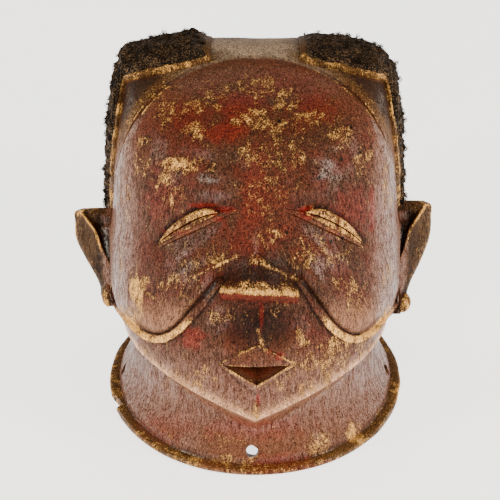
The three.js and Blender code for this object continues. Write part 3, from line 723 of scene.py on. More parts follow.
def make_body(columns, hewing):
    """The outside of head, neck and rim: level rings up to the centre's height that follow the
    jaw's edge, then rings of equal climb up to the crown. Columns are closest on the face."""
    shares = np.array([0.27, 0.12, 0.06, 0.05])
    steps = np.round(columns * shares).astype(int)
    half = [0, 52, 84, 115, 180]
    half_turns = spread(half, np.maximum(steps, 2))
    turns = np.radians(np.concatenate([half_turns, [180], -half_turns[:0:-1]]))
    jaw = jaw_height(turns)
    rows = [np.full(turns.shape, share * BEAD_HEIGHT)
            for share in (0, 0.05, 0.15, 0.3, 0.5, 0.7, 0.85, 0.95, 1.02, 1.15, 1.35)]
    rows += [mix(1.6 * BEAD_HEIGHT, jaw - 12, share) for share in np.linspace(0, 1, 16)[:-1]]
    rows += [jaw + above for above in np.linspace(-12, 8, 22)[:-1]]
    rows += [mix(jaw + 8, CENTRE[2], share) for share in np.linspace(0, 1, 61)[:-1]]
    z = np.stack(rows)
    low = on_wall(turns, z, wall_reach(turns, z))
    climbs = np.radians(spread([0, 45, 89.4], [82, 42]))[:, None]
    high = on_dome(aim(turns[None], climbs), 0)
    rings = carve(np.concatenate([low, high]))
    rough = hew(rings, hewing)
    flat = fade(rings[..., 2], 0.2, 3)[..., None]
    return loft("helmet", mix(rings, rough, flat))


def make_hollow(hewing):
    """The hollow: the neck's and the head's form less the wall, open below, with gouge marks."""
    turns = np.radians(np.linspace(0, 360, 97)[:-1])
    z = np.linspace(-4, 118, 31)[:-1, None]
    share = fade(z, 36, 92)
    reach = mix(neck_reach(turns, z, NECK_WALL), head_reach(turns, z, HEAD_WALL), share)
    low = on_wall(turns, z, reach)
    climbs = np.radians(np.linspace(0, 89, 24))[:, None]
    high = on_dome(aim(turns[None], climbs), -HEAD_WALL)
    rings = np.concatenate([low, high])
    marks = np.abs(noise(rings, (9, 9, 24), 71)) + 0.4 * noise(rings, 30, 72)
    inward = rings - np.array([0, 0, 1.0]) * rings[..., 2:] - np.array([0, 4.0, 0])
    inward = inward / np.maximum(np.linalg.norm(inward, axis=-1, keepdims=True), 1)
    depth = 3 * hewing * marks * fade(rings[..., 2], 2, 12)
    return loft("hollow", rings - inward * depth[..., None])


def eye_place(side, t, above):
    up = mix(EYE_INNER[1], EYE_OUTER[1], t) + above
    return side * mix(EYE_INNER[0], EYE_OUTER[0], t) + axis_across(up), up


def lid_lift(share):
    """Height across the leaf from its lower to its upper edge: two rounded lids, each the root of
    1 - d^2, that meet in a valley at the slit."""
    low = LOWER_LID_LIFT * np.sqrt(np.maximum(0, 1 - (share / SLIT_SHARE * 2 - 1) ** 2))
    high = (share - SLIT_SHARE) / (1 - SLIT_SHARE)
    high = UPPER_LID_LIFT * np.sqrt(np.maximum(0, 1 - (high * 2 - 1) ** 2))
    return np.maximum(0.55 * LOWER_LID_LIFT * fade(share, 0.1, 0.25), np.maximum(low, high))


def make_eye(side, hewing):
    """The leaf of the eye with its two lids, lower towards its outer end."""
    u = np.sin(np.linspace(0.02, 1, 60) * math.pi / 2)[:, None]
    u = mix(u * u, np.linspace(0.004, 0.985, 60)[:, None], 0.5)
    share = np.linspace(0, 1, 30)[None]
    t = mix(LEAF_START, LEAF_END, u)
    low, high = leaf_edges(t)
    across, up = eye_place(side, t, mix(low, high, share))
    ends = np.sqrt(1 - (1 - np.minimum(u / 0.12, 1)) ** 2) * (1 - 0.5 * u**3)
    height = lid_lift(share) * ends - 0.3 * (share == 0) - 0.3 * (share == 1)
    top = hew(carved_point(across, up, height), hewing)
    return thicken("eye", top, carved_point(across, up, -3))


def sideways_of(places):
    """Unit directions across a line on the front and across the carving direction."""
    sideways = np.cross(np.gradient(places, axis=0), CARVE_OUT)
    return sideways / np.linalg.norm(sideways, axis=1, keepdims=True)


def make_groove(places, half_width, depth, proud=1.0):
    """A V-shaped groove along places on the carved surface, which ends in points."""
    t = np.linspace(0, 1, len(places))[:, None]
    taper = np.clip(np.sqrt(4 * t * (1 - t)) * 1.6, 0.05, 1)
    sideways = sideways_of(places)
    wide = half_width * (1 + proud / depth) * taper
    corners = [
        places + sideways * wide + CARVE_OUT * proud,
        places - CARVE_OUT * depth * taper,
        places - sideways * wide + CARVE_OUT * proud,
    ]
    return loft("groove", np.stack(corners, axis=1))


def make_slit(side):
    u = np.linspace(0.09, 0.86, 44)
    t = mix(LEAF_START, LEAF_END, u)
    low, high = leaf_edges(t)
    across, up = eye_place(side, t, mix(low, high, SLIT_SHARE + 0.02))
    return make_groove(carved_point(across, up, 1.0), 0.42, SLIT_DEPTH)


def make_eye_groove(side):
    t = np.linspace(-0.24, 1.02, 50)
    across, up = eye_place(side, t, groove_below_eye(t))
    return make_groove(carved_point(across, up, 0), 0.45, 0.7)


def make_corner_groove(side):
    t = np.linspace(0, 1, 14)
    up = 108.4 + 1.6 * t
    across = side * mix(27, 14, t) + axis_across(up)
    return make_groove(carved_point(across, up, 0), 0.6, 0.5)


def make_forehead_groove():
    """The crease round the forehead, on the superellipse that crease_gap measures from."""
    angle = np.radians(np.linspace(14, 166, 110))
    reach = super_reach(np.cos(angle), np.sin(angle), CREASE_HALF_WIDTH,
                        CREASE_TOP_UP - CREASE_UP, CREASE_SQUARENESS)
    across, up = np.cos(angle) * reach, CREASE_UP + np.sin(angle) * reach
    return make_groove(carved_point(across, up, 0), 1.0, CREASE_DEPTH)


def make_nose(hewing):
    """Sections that grow towards a straight-cut lower edge: bell-shaped, (1 - s^2)^2, at the
    bridge and square, 1 - |s|^5, at the bottom. Below it the cut runs back to the face."""
    t = np.concatenate([np.linspace(0, 1, 44), [1, 1, 1]])[:, None]
    s = np.concatenate([np.linspace(-1, 1, 45), [0.8, 0, -0.8]])[None]
    below = np.concatenate([np.zeros(44), [0.5, 2.2, 3.6]])[:, None]
    shrink = np.concatenate([np.ones(44), [0.92, 0.5, 0.05]])[:, None]
    half = mix(BRIDGE_HALF_WIDTH + 5, NOSE_HALF_WIDTH, t**1.6)
    lift = mix(-0.3, NOSE_LIFT, t**1.4) * shrink
    up = mix(NOSE_TOP_UP, NOSE_BOTTOM_UP, t) - NOSE_BOTTOM_TILT * s * half * t - below
    across = axis_across(up) + s * half
    is_arch = np.arange(s.shape[1]) < 45
    arch = lift * mix((1 - s * s) ** 2, 1 - np.abs(s) ** 5, t**2.5)
    arch = arch - (0.15 + 0.5 * t) * (np.abs(s) > 0.98)
    height = np.where(is_arch, arch, -4)
    return loft("nose", hew(carved_point(across, up, height), hewing))


def make_upper_lip(hewing):
    """A low triangle that swells towards its straight lower edge, with small notches along its
    upper edge."""
    u = np.linspace(-0.97, 0.97, 70)[:, None]
    v = np.linspace(0, 1, 18)[None]
    x = u * MOUTH_HALF_WIDTH
    top, line, _, _ = lip_edges(x)
    notch = 0.3 * np.abs((x / 1.9) % 1 - 0.5) * (1 - v)
    up = mix(top - notch, line, v)
    across = axis_across(up) + x
    height = LIP_LIFT * mix(0.32, 1, v**0.8) * (1 - np.abs(u) ** 3) + 0.35 * bell(v / 0.18)
    rows = carved_point(across, up, height)
    return thicken("upper_lip", hew(rows, hewing), carved_point(across, up, -4))


def make_lower_lip(hewing):
    """A narrow rim in a V round the opening, highest at its inner edge."""
    u = np.linspace(-0.98, 0.98, 71)[:, None]
    v = np.linspace(0, 1, 12)[None]
    x = u * (MOUTH_HALF_WIDTH - 0.6)
    _, line, inner, outer = lip_edges(x)
    inner = np.minimum(inner, line) + 0.6
    up = mix(inner, outer, v)
    across = axis_across(up) + x
    height = 2.5 * np.cos(v * 1.35) * (1 - 0.5 * np.abs(u) ** 3)
    rows = carved_point(across, up, height)
    return thicken("lower_lip", hew(rows, hewing), carved_point(across, up, -4))


def make_cord(side, hewing):
    """A round bar from the nose's wing to the ear's lobe, thin beside the nose, with shallow
    cross marks."""
    xs, ys = cord_places(side)
    t = np.linspace(0, 1, 110)
    place = np.linspace(0, 1, CORD_STEPS + 1)
    across, up = np.interp(t, place, xs), np.interp(t, place, ys)
    middle = carved_point(across, up, 0)
    lobe = face_point(np.array(side * (HEAD_HALF_WIDTH - 4.0)), np.array(EAR_LOBE_UP + 3.0),
                      np.array(float(EAR_OUT)))
    end = fade(t, 0.9, 1)[:, None] ** 2
    middle = mix(middle, lobe, end)
    for _ in range(6):
        middle[1:-1] = mix(middle[1:-1], (middle[:-2] + middle[2:]) / 2, 0.5)
    grow = mix(0.42, 1, fade(t, 0.02, 0.34))[:, None]
    sideways = sideways_of(middle)
    length = np.concatenate([[0], np.cumsum(np.linalg.norm(np.diff(middle, axis=0), axis=1))])
    wander = noise(middle, 2.2, 31)[:, None]
    marks = (0.5 + 0.5 * np.sin(length * 2 * math.pi / 2.6)[:, None]) ** 3
    angle = np.linspace(0, 2 * math.pi, 15)[:-1]
    wide = CORD_HALF_WIDTH * grow * (1 + 0.1 * wander)
    high = CORD_HEIGHT * grow * (1 + 0.08 * wander - 0.1 * marks * fade(t, 0.3, 0.4)[:, None])
    rings = (
        (middle + CARVE_OUT * CORD_LIFT * grow)[:, None]
        + sideways[:, None] * (wide * np.cos(angle))[..., None]
        + CARVE_OUT * (high * np.sin(angle))[..., None]
    )
    return loft("cord", hew(rings, hewing))


def make_mouth_cut():
    """The opening, a flat V cut straight back into the hollow, a little narrower there."""
    t = np.linspace(-1, 1, 33)
    x = t * OPENING_HALF_WIDTH
    _, line, inner, _ = lip_edges(x)
    ragged = 0.25 * noise(np.stack([x, x * 0, x * 0], axis=-1), 1.4, 5)
    lower = np.minimum(inner + ragged, line - 0.05)
    x = np.concatenate([x, x[::-1][1:-1]])
    up = np.concatenate([line, lower[::-1][1:-1]])
    axis = axis_across(MOUTH_LINE_UP)
    front = carved_point(axis + x, up, 2)
    rings = []
    for back in (-22, 0, 4, 10, 16, 24, MOUTH_DEPTH):
        narrow = 1 - 0.15 * max(back, 0) / MOUTH_DEPTH
        moved = front + np.array([0, back, 0])
        moved[:, 0] = axis + (moved[:, 0] - axis) * narrow
        rings.append(moved)
    return loft("mouth_cut", np.array(rings))


def make_ear(side):
    """An ear: smooth sections through eight corners, with a raised crest round a hollow, from its
    flat top down to a small lobe."""
    longer = EAR_ASYMMETRY if side > 0 else 0
    t = np.linspace(0, 1, 57) ** 1.1
    up = mix(EAR_TOP_UP + longer, EAR_LOBE_UP - longer, t)
    edge = mix(HEAD_HALF_WIDTH - 5, EAR_REACH - longer / 2, through(EAR_OUTLINE, t))
    fullness = fade(t, 0, 0.35) * (1 - 0.45 * fade(t, 0.6, 1))
    thick = mix(EAR_TOP_THICKNESS, EAR_THICKNESS, fullness)
    crest = edge - mix(3, EAR_FLANGE, fade(t, 0, 0.3) * (1 - 0.7 * fade(t, 0.55, 0.85)))
    hollow = mix(crest, HEAD_HALF_WIDTH, 0.55)
    deep = fade(t, 0.03, 0.2) * (1 - fade(t, 0.6, 0.85))
    root = np.full(t.shape, float(EAR_ROOT))
    corners = [
        (root, EAR_OUT - 3 + 0 * t),
        (hollow, EAR_OUT - EAR_HOLLOW_DEPTH * deep),
        (mix(crest, hollow, 0.35), EAR_OUT - EAR_HOLLOW_DEPTH * deep * 0.6),
        (crest, EAR_OUT + EAR_CREST_LIFT * deep),
        (mix(crest, edge, 0.5), EAR_OUT - thick * 0.18),
        (edge, EAR_OUT - thick * 0.5),
        (edge - 1.5, EAR_OUT - thick * 0.8),
        (root, EAR_OUT - thick),
    ]
    rings = np.stack([face_point(side * across, up, out) for across, out in corners], axis=1)
    ear = smooth_ring(rings, 40)
    return loft("ear", hew(ear, 0.3))


def slab_directions(side, over, aside):
    """Unit directions at degrees over the crown and away from the middle line."""
    over, aside = np.radians(over), np.radians(aside)
    return np.stack(
        [side * np.sin(aside), -np.cos(aside) * np.cos(over), np.cos(aside) * np.sin(over)],
        axis=-1,
    )


def bed_front(aside):
    return np.interp(aside, *np.array(HAIR_FRONT, float).T)


def bed_gaps(over, aside):
    """Degrees inside the bed's front edge, its back edge, its inner and its outer edge."""
    return np.stack([
        over - bed_front(aside), HAIR_BACK_TURN - over,
        aside - HAIR_INNER_TURN, HAIR_OUTER_TURN - aside,
    ])


def bed_lift(over):
    """Height of a bed above the dome, lower behind its front edge."""
    return mix(*BED_LIFT, fade(over, 92, 108))


def bed_places(rows, columns, margin):
    """A grid over a bed, from its front to its back edge and from its inner to its outer edge."""
    aside = np.linspace(HAIR_INNER_TURN + margin, HAIR_OUTER_TURN - margin, columns)
    share = np.linspace(0, 1, rows)[:, None]
    over = mix(bed_front(aside) + margin, HAIR_BACK_TURN - margin, share)
    return np.broadcast_arrays(over, aside)


def make_bed(side):
    """A raised bed for the hair that follows the dome, with rounded and slightly ragged edges."""
    over, aside = bed_places(*BED_GRID, 0)
    steady = np.stack([over, aside, 0 * over], axis=-1)
    ragged = noise(steady, (5, 2.5, 1), 40 + side) + 0.5 * noise(steady, (2, 1.2, 1), 42 + side)
    edge = bed_gaps(over, aside).min(axis=0)
    lift = bed_lift(over) * np.sqrt(1 - (1 - np.clip(edge / 1.0, 0, 1)) ** 2 * 0.55)
    direction = slab_directions(side, over, aside)
    top = on_dome(direction, 0) + direction * (lift + 0.25 * ragged)[..., None]
    return thicken("bed", top, on_dome(direction, 0) - direction * 5)


def make_lobe(side):
    """The ear's lobe, an upright egg in which the cord ends."""
    across, up, half = EAR_LOBES[side]
    climb = np.linspace(-1.45, 1.45, 16)[:, None]
    around = np.linspace(0, 2 * math.pi, 25)[None, :-1]
    rings = face_point(
        across + half[0] * np.cos(climb) * np.cos(around),
        up + half[1] * np.sin(climb) + 0 * around,
        EAR_OUT - 6 + half[2] * np.cos(climb) * np.sin(around),
    )
    return loft("lobe", hew(rings, 0.5))


def make_bore(place, axis, radius):
    """A slightly uneven round bore along an axis."""
    angles = np.linspace(0, 2 * math.pi, 33)[:-1]
    sideways = np.cross([0, 0, 1.0], axis)
    sideways = sideways / np.linalg.norm(sideways)
    upward = np.cross(axis, sideways)
    rings = []
    for along in (-30, -8, -2, 2, 8, 30):
        wide = radius * (1 + 0.05 * np.sin(3 * angles + along) + 0.03 * np.sin(5 * angles))
        rings.append(
            np.array(place) + np.array(axis) * along
            + sideways * (np.cos(angles) * wide)[:, None]
            + upward * (np.sin(angles) * wide)[:, None]
        )
    return loft("bore", np.array(rings))


def make_chip():
    """The piece lost from the rim's bead: it thins out and then ends in a step."""
    turns = np.radians(np.linspace(CHIP_START, CHIP_END, 12))
    left = through(((0, 6), (0.33, 3.6), (0.67, 1.4), (1, 0.8)), np.linspace(0, 1, 12))
    left = left + 0.35 * np.sin(np.arange(12) * 2.3)
    inner = neck_reach(turns, BEAD_HEIGHT, 0) + left
    top = BEAD_HEIGHT + 0.5
    corners = [(-2, 0), (-2, 30), (top, 30), (top, 0), (top / 2, -0.4)]
    rings = [on_wall(turns, np.full(12, float(z)), inner + more) for z, more in corners]
    return loft("chip", np.stack(rings, axis=1))


def cut(piece, tools):
    """Joins or cuts the piece with each (operation, tool) and keeps the result in its mesh."""
    for operation, tool in tools:
        step = piece.modifiers.new(operation, "BOOLEAN")
        step.operation = operation
        step.solver = "MANIFOLD"
        step.object = tool
    shaped = piece.evaluated_get(bpy.context.evaluated_depsgraph_get())
    mesh = bpy.data.meshes.new_from_object(shaped)
    piece.modifiers.clear()
    piece.data = mesh
    for _, tool in tools:
        bpy.data.meshes.remove(tool.data)
    mesh.name = piece.name


def mesh_points(mesh):
    """Vertices in millimetres in the carver's frame, and their normals."""
    count = len(mesh.vertices)
    flat = np.empty(count * 3)
    mesh.vertices.foreach_get("co", flat)
    normals = np.empty(count * 3)
    mesh.vertex_normals.foreach_get("vector", normals)
    return flat.reshape(-1, 3) / MM - SHIFT, normals.reshape(-1, 3)


def edge_ends(mesh):
    ends = np.empty(len(mesh.edges) * 2, int)
    mesh.edges.foreach_get("vertices", ends)
    return ends.reshape(-1, 2)


def average(values, ends, rounds):
    """Values spread over the mesh: each round mixes a vertex with the mean of its neighbours."""
    count = len(values)
    both = np.concatenate([ends, ends[:, ::-1]])
    number = np.maximum(np.bincount(both[:, 0], minlength=count), 1)
    for _ in range(rounds):
        total = np.bincount(both[:, 0], weights=values[both[:, 1]], minlength=count)
        values = mix(values, total / number, 0.6)
    return values


def bend_of(points, normals, ends, rounds):
    """How much the surface bends outwards, per millimetre: the mean over the edges of
    (difference of normals) . (difference of places) / length^2."""
    a, b = ends.T
    step = points[b] - points[a]
    length = np.maximum(np.einsum("ij,ij->i", step, step), 0.04)
    bend = np.einsum("ij,ij->i", normals[b] - normals[a], step) / length
    count = len(points)
    total = np.bincount(a, weights=bend, minlength=count)
    total += np.bincount(b, weights=bend, minlength=count)
    number = np.maximum(np.bincount(ends.ravel(), minlength=count), 1)
    return average(total / number, ends, rounds)


# The masks that the wood's material reads at the vertices.
PAINT_MARKS = (
    "worn", "bright", "grime_and_shade", "faded_and_side_lit", "pale", "gloss", "bare", "panel", "ear", "inside",
)

# Worn patches on the face: middle, half sizes and strength.
WORN_PATCHES = (
    ((-76, 58), (9, 14), 0.7), ((-78, 43), (8, 11), 0.55), ((-58, 58), (8, 9), 0.4),
    ((66, 52), (8, 12), 0.4), ((57, 60), (10, 9), 0.3), ((88, 66), (6, 14), 0.4),
    ((86, 122), (4, 26), 0.4), ((-84, 118), (4, 24), 0.3),
    ((2, 189), (18, 8), 0.42), ((22, 180), (9, 8), 0.42), ((32, 168), (12, 7), 0.45),
    ((-38, 176), (14, 6), 0.42), ((-58, 172), (8, 10), 0.42), ((-24, 186), (12, 8), 0.38),
    ((0, 168), (16, 9), 0.5), ((22, 162), (14, 6), 0.45), ((-40, 160), (9, 8), 0.45),
    ((56, 156), (12, 8), 0.5), ((70, 140), (8, 14), 0.35), ((-46, 138), (17, 6), 0.7),
    ((-58, 130), (10, 8), 0.6), ((-74, 140), (5, 14), 0.45), ((-54, 116), (10, 12), 0.35),
    ((14, 144), (26, 12), 0.4), ((8, 122), (16, 14), 0.34), ((10, 93), (9, 6), 0.5),
    ((0, 77), (6, 3), 0.5), ((44, 82), (18, 10), 0.35), ((30, 78), (10, 8), 0.3),
    ((-30, 76), (14, 8), 0.35), ((28.4, 26.4), (5, 8), 0.55), ((-24, 40), (9, 8), 0.45),
    ((-46, 62), (10, 10), 0.4), ((0.8, -22), (3.4, 6.5), 0.8), ((45, 10), (18, 14), 0.5),
    ((-42, 0), (22, 10), 0.38), ((34, -2), (22, 10), 0.36), ((66, -38), (6, 8), 0.62),
    ((42, -44), (10, 10), 0.5), ((84, -30), (5, 10), 0.4), ((-30, -40), (30, 8), 0.3),
    ((-10, -54), (24, 4), 0.45), ((-88, 68), (5, 26), 0.3), ((-70, 20), (10, 8), 0.3),
    ((76, 18), (9, 7), 0.4), ((54, 20), (12, 8), 0.42),
)

# Places where bright red is left: middle, half sizes and strength.
RED_PATCHES = (
    ((-27.5, 107), (3.2, 3.4), 1.0), ((-19, 109.5), (8, 2.2), 0.8), ((-34, 112), (11, 1.6), 0.7),
    ((-25, 103), (4, 2.4), 0.6), ((-50, 95), (14, 2), 0.35), ((33, 107), (6, 5), 0.75),
    ((56, 96), (12, 2.4), 0.3), ((76, 108), (2.6, 18), 0.45), ((16, 14), (4, 3.4), 0.95),
    ((9, 17.5), (2.6, 2), 0.8), ((1.8, -14), (1.2, 5), 0.9), ((4, 42), (1.4, 12), 0.45),
    ((-40, 26), (8, 9), 0.5), ((0, 92), (26, 14), 0.2), ((0, 112), (10, 34), 0.28),
    ((20, 190), (22, 10), 0.2), ((40, 176), (16, 12), 0.26), ((-10, 176), (20, 12), 0.36),
    ((-40, 168), (18, 12), 0.3), ((-20, 160), (16, 8), 0.45), ((-60, 120), (12, 22), 0.22),
    ((62, 110), (14, 12), 0.25), ((20, -60), (34, 10), 0.45), ((-24, -62), (24, 8), 0.3),
    ((-60, -34), (22, 12), 0.22), ((0, -34), (40, 8), 0.28),
)

# Places polished by handling: middle, half sizes and strength.
GLOSS_PATCHES = (
    ((-26, 125), (20, 12), 1.0), ((45, 132), (15, 14), 1.0), ((44, 76), (20, 18), 0.5),
    ((-50, 72), (12, 16), 0.5), ((-24, 38), (9, 11), 0.9), ((30, 34), (8, 12), 0.5),
    ((-30, 58), (6, 12), 0.7), ((-22, 92), (16, 8), 0.3),
)


class Surface:
    """The carved surface at its vertices. Places are given across, up and out on the front, as x
    and away from the face's leaning middle line, and over and aside in degrees on the crown. rag
    is noise for ragged borders. Parts such as rim or jaw_edge are shares from 0 to 1."""

    def __init__(self, points, normals, ends):
        self.points = points
        self.across, self.up, self.out = points[:, 0], points @ CARVE_UP, points @ CARVE_OUT
        self.x = self.across - axis_across(self.up)
        self.away = np.abs(self.x)
        self.share = share_of_wall(points)
        self.bend = bend_of(points, normals, ends, 1)
        self.broad = bend_of(points, normals, ends, 8)
        self.rag = noise(points, 5, 90) + 0.5 * noise(points, 1.8, 91)

        facing = normals @ CARVE_OUT
        self.front = fade(facing, 0.05, 0.4) * fade(self.out, 20, 50)
        self.outside = fade(self.share, 0.94, 0.965)
        self.rear = fade(points[:, 1], 10, 75) * self.outside
        self.rim = 1 - fade(points[:, 2], BEAD_HEIGHT - 0.4, BEAD_HEIGHT + 1)
        self.ear = fade(self.share, 1.03, 1.07) * fade(np.abs(self.across), 88, 96)
        self.ear = self.ear * (1 - fade(self.out, 60, 64))

        x, y, z = (points - CENTRE).T
        over = np.degrees(np.arctan2(z, -y))
        self.over = np.where(over < -90, over + 360, over)
        length = np.maximum(np.linalg.norm(points - CENTRE, axis=1), 1)
        self.aside = np.degrees(np.arcsin(np.clip(np.abs(x) / length, 0, 1)))
        gaps = bed_gaps(self.over, self.aside)
        self.behind_bed_front = gaps[0]
        self.bed_gap = -gaps.min(axis=0)
        self.bed = (1 - fade(self.bed_gap, -0.2, 0.5)) * self.outside

        self.crease = crease_gap(self.across, self.up)
        self.high = fade(self.up, CREASE_UP + 10, CREASE_UP + 40)
        self.behind = fade(self.crease, -1, 2) * self.high * (1 - self.ear)
        self.forehead = fade(-self.crease, -1, 2) * fade(self.up, 140, 160) * fade(facing, 0, 0.2)
        self.golden = bell((self.crease - 3.2) / 3.2) * self.high * (1 - self.bed) * self.front
        self.golden = self.golden * fade(np.abs(self.across), 14, 30)

        self.cord_gap, self.along = to_cord(self.across, self.up)
        self.above_nose = self.up - NOSE_BOTTOM_UP + NOSE_BOTTOM_TILT * self.x
        self.middle = (1 - fade(self.away, 24, 27)) * self.front
        throat = fade(0.962 - self.share, -0.012, 0) * fade(self.up, -12, -8)
        throat = throat * (1 - fade(self.up, 9, 11)) * (1 - fade(self.away, 24, 26))
        self.throat = throat * fade(self.out, 60, 70)

        turn = np.arctan2(self.across, axis_y(points[:, 2]) - points[:, 1])
        # jaw_edge: the jaw's edge where it faces forward, which gets the painted highlight
        jaw = bell((points[:, 2] - jaw_height(turn)) / 4.6) * fade(self.out, 10, 50)
        self.jaw_edge = jaw * (1 - fade(normals[:, 1], -0.2, 0.2))
        self.flank = fade(np.abs(self.across + 3 * self.rag), 70, 84)
        self.low = fade(-self.up + 4 * self.rag, -36, 6)
        cheek = fade(self.cord_gap, 0, 3) * (1 - fade(self.up, 38, 56))
        self.cheek_low = cheek * fade(self.away, 34, 52)


def patches(skin, table, ragged):
    """The strongest of a table's patches at each vertex, with ragged borders."""
    total = np.zeros(len(skin.up))
    for middle, half, strength in table:
        reach = np.hypot((skin.across - middle[0]) / half[0], (skin.up - middle[1]) / half[1])
        total = np.maximum(total, strength * (1 - fade(reach + 0.35 * ragged, 0.55, 1.15)))
    return total


def eye_paint(skin):
    """The worn lids, the slit between them with its painted shade and the strip below them."""
    t, above = eye_marks(skin.x, skin.up)
    low, high = leaf_edges(t)
    in_eye = fade(t, LEAF_START - 0.02, LEAF_START + 0.02)
    in_eye = in_eye * (1 - fade(t, LEAF_END - 0.04, LEAF_END)) * skin.front
    slit_gap = above - mix(low, high, SLIT_SHARE)
    upper = fade(slit_gap, 0.1, 0.6) * (1 - fade(above, high - 0.4, high + 0.6))
    lower = (1 - fade(slit_gap, -0.5, 0)) * fade(above, low - 0.8, low + 0.6)
    lids = (0.7 * upper + 0.58 * lower * fade(t, 0.1, 0.35)) * in_eye
    lids = lids * (1 + 0.12 * np.sign(skin.x) + 0.2 * noise(skin.points, 5, 94))
    slit = bell(slit_gap / 0.5) * in_eye * fade(t, 0.2, 0.26) * (1 - fade(t, 0.86, 0.95))
    below = (1 - fade(above, low - 1, low + 1)) * fade(above - groove_below_eye(t), -0.2, 0.8)
    return lids, slit, below * in_eye


def worn_paint(skin, lids):
    """Where paint is worn down to the wood: in patches, on the lids, the crests and the bars, along
    the nose's edge and the lips, on all sharp edges and on the beds' borders."""
    streak = noise(skin.points, (2.2, 2.2, 16), 92)
    worn = patches(skin, WORN_PATCHES, skin.rag + streak) * skin.front
    for start, end, _, strength in CRESTS:
        crest = bell(line_gap(skin.across, skin.up, start, end) / 1.3) * (1 + 0.5 * skin.rag)
        worn = np.maximum(worn, strength * crest * skin.front)
    cord = (1 - fade(np.abs(skin.cord_gap + 0.3), 1.9, 3)) * fade(skin.along, 0.28, 0.42)
    cord = cord * skin.front * fade(skin.away, 20, 24)
    tall = 2.2 + 4.5 * (1 - (skin.x / 27) ** 2)
    nose = skin.middle * fade(skin.above_nose, -0.8, 0.6)
    nose = nose * mix(1, 0.45, fade(skin.above_nose, 1.5, 5))
    nose = nose * (1 - fade(skin.above_nose + 1.4 * skin.rag, tall, tall + 4))
    top, line, inner, _ = lip_edges(skin.x)
    lip_top = skin.middle * bell((skin.up - top + 0.4) / 1.1) * fade(skin.up, line, line + 2)
    lip_low = skin.middle * bell((skin.up - inner + 1) / 1.2)
    lip_low = lip_low * (1 - fade(skin.up, line - 1, line + 1))
    dull = bell(skin.cord_gap / 5) * (1 - fade(skin.along, 0.24, 0.36)) * fade(skin.away, 20, 24)
    edges = np.clip(skin.bend * 1.6 - 0.12, 0, 0.75) * skin.outside * (1 - 0.8 * dull)
    border = (1 - fade(np.abs(skin.behind_bed_front - 0.9 + 0.3 * skin.rag), 0.7, 2.2)) * skin.bed
    return np.maximum.reduce([
        worn, lids, cord, nose, 0.7 * lip_top, 0.75 * lip_low, edges * (1 - 0.7 * skin.jaw_edge),
        (0.58 + 0.36 * noise(skin.points, 7, 93)) * border,
        np.clip(skin.bend * 4, 0, 0.8) * skin.ear,
    ])


def bright_red(skin):
    """Bright red left in patches, under the nose and in the mouth."""
    below = -skin.above_nose
    under_nose = skin.middle * fade(below, -0.6, 0.4) * (1 - fade(below, 3.4, 5))
    red = patches(skin, RED_PATCHES, skin.rag) * skin.front
    return np.maximum.reduce([red, 0.45 * under_nose, 0.6 * skin.throat])


def grime_and_shade(skin, worn, slit):
    """Painted shade: darker where the surface bends inwards, in the slits, round the nose, under
    the brows, along the crease and the bars and in the ears. The back is browner all over."""
    # Painted shade: concave bends, slits, nose, brows, crease, bars and the ears' hollows.
    bent = np.clip(-skin.broad * 3.2, 0, 0.7) + np.clip(-skin.bend * 0.9, 0, 0.4)
    below_nose = np.sqrt(hump(np.hypot(skin.x / 32, (skin.up - 35) / 19)))
    below_nose = below_nose * fade(-skin.above_nose, -1, 2)
    nose_top = np.sqrt(hump(np.hypot(skin.x / 32, (skin.up - 66) / 20)))
    nose_top = nose_top * fade(skin.above_nose, 0, 4)
    brow = hump(np.hypot((skin.away - 30) / 26, (skin.up - 114) / 6))
    crease = bell(skin.crease / 1.2) * fade(skin.up, CREASE_UP + 25, CREASE_UP + 45)
    crease = crease * (1 - skin.bed)
    cord = bell((skin.cord_gap - CORD_HALF_WIDTH - 0.9) / 1.3) * (1 - fade(skin.along, 0.9, 1))
    cord = cord * fade(skin.away, 18, 24)
    face = np.maximum.reduce([0.95 * below_nose, 0.92 * nose_top, 0.5 * brow, 0.7 * cord])
    face = face * skin.front
    ear = skin.ear * np.maximum(0.85 * (1 - fade(skin.share, 1.07, 1.17)), 0.5)
    dark = np.maximum.reduce([bent, 0.9 * slit, face, 0.25 * crease, ear])
    dark = dark * (1 - 0.7 * np.clip(worn, 0, 1)) * (1 - 0.7 * skin.behind) * (1 - skin.throat)
    back = skin.rear * (0.24 + 0.14 * noise(skin.points, 16, 95) + 0.05 * skin.rag)
    return np.maximum(dark, back)


def faded_and_side_lit_paint(skin, below_eye):
    """Rosy paint on the sides, the lower cheeks, the jaw and the neck, inside the crease and below
    the eyes: partly faded paint, partly painted side light. The back has less of it."""
    near_crease = 0.55 * skin.forehead * (1 - fade(-skin.crease + 5 * skin.rag, 5, 26))
    # Painted side light: lighter paint on the flanks, low down and where the head turns back.
    turned = (1 - fade(skin.out, -10, 35)) * (1 - 0.5 * skin.forehead)
    rose = np.maximum.reduce([
        skin.flank, skin.low, skin.cheek_low, turned, 0.9 * below_eye,
        near_crease * fade(skin.up, 150, 190),
    ])
    return rose * (1 - 0.6 * skin.rear)


def polish(skin, dark):
    """Gloss on the sides, the jaw, the neck and in patches, and less of it on the crown, the ears,
    the back, the painted shade and grime and the lowest part of the neck."""
    gloss = np.maximum(0.22, 0.9 * np.maximum(skin.flank, skin.low))
    gloss = gloss * (1 - 0.8 * skin.behind) * (1 - 0.7 * skin.ear)
    gloss = np.maximum(gloss, patches(skin, GLOSS_PATCHES, 0.5 * skin.rag))
    gloss = gloss * (1 - 0.9 * dark * (1 - gloss)) * (1 - 0.6 * skin.rear)
    return gloss * mix(0.75, 1, fade(skin.points[:, 2], 24, 44))


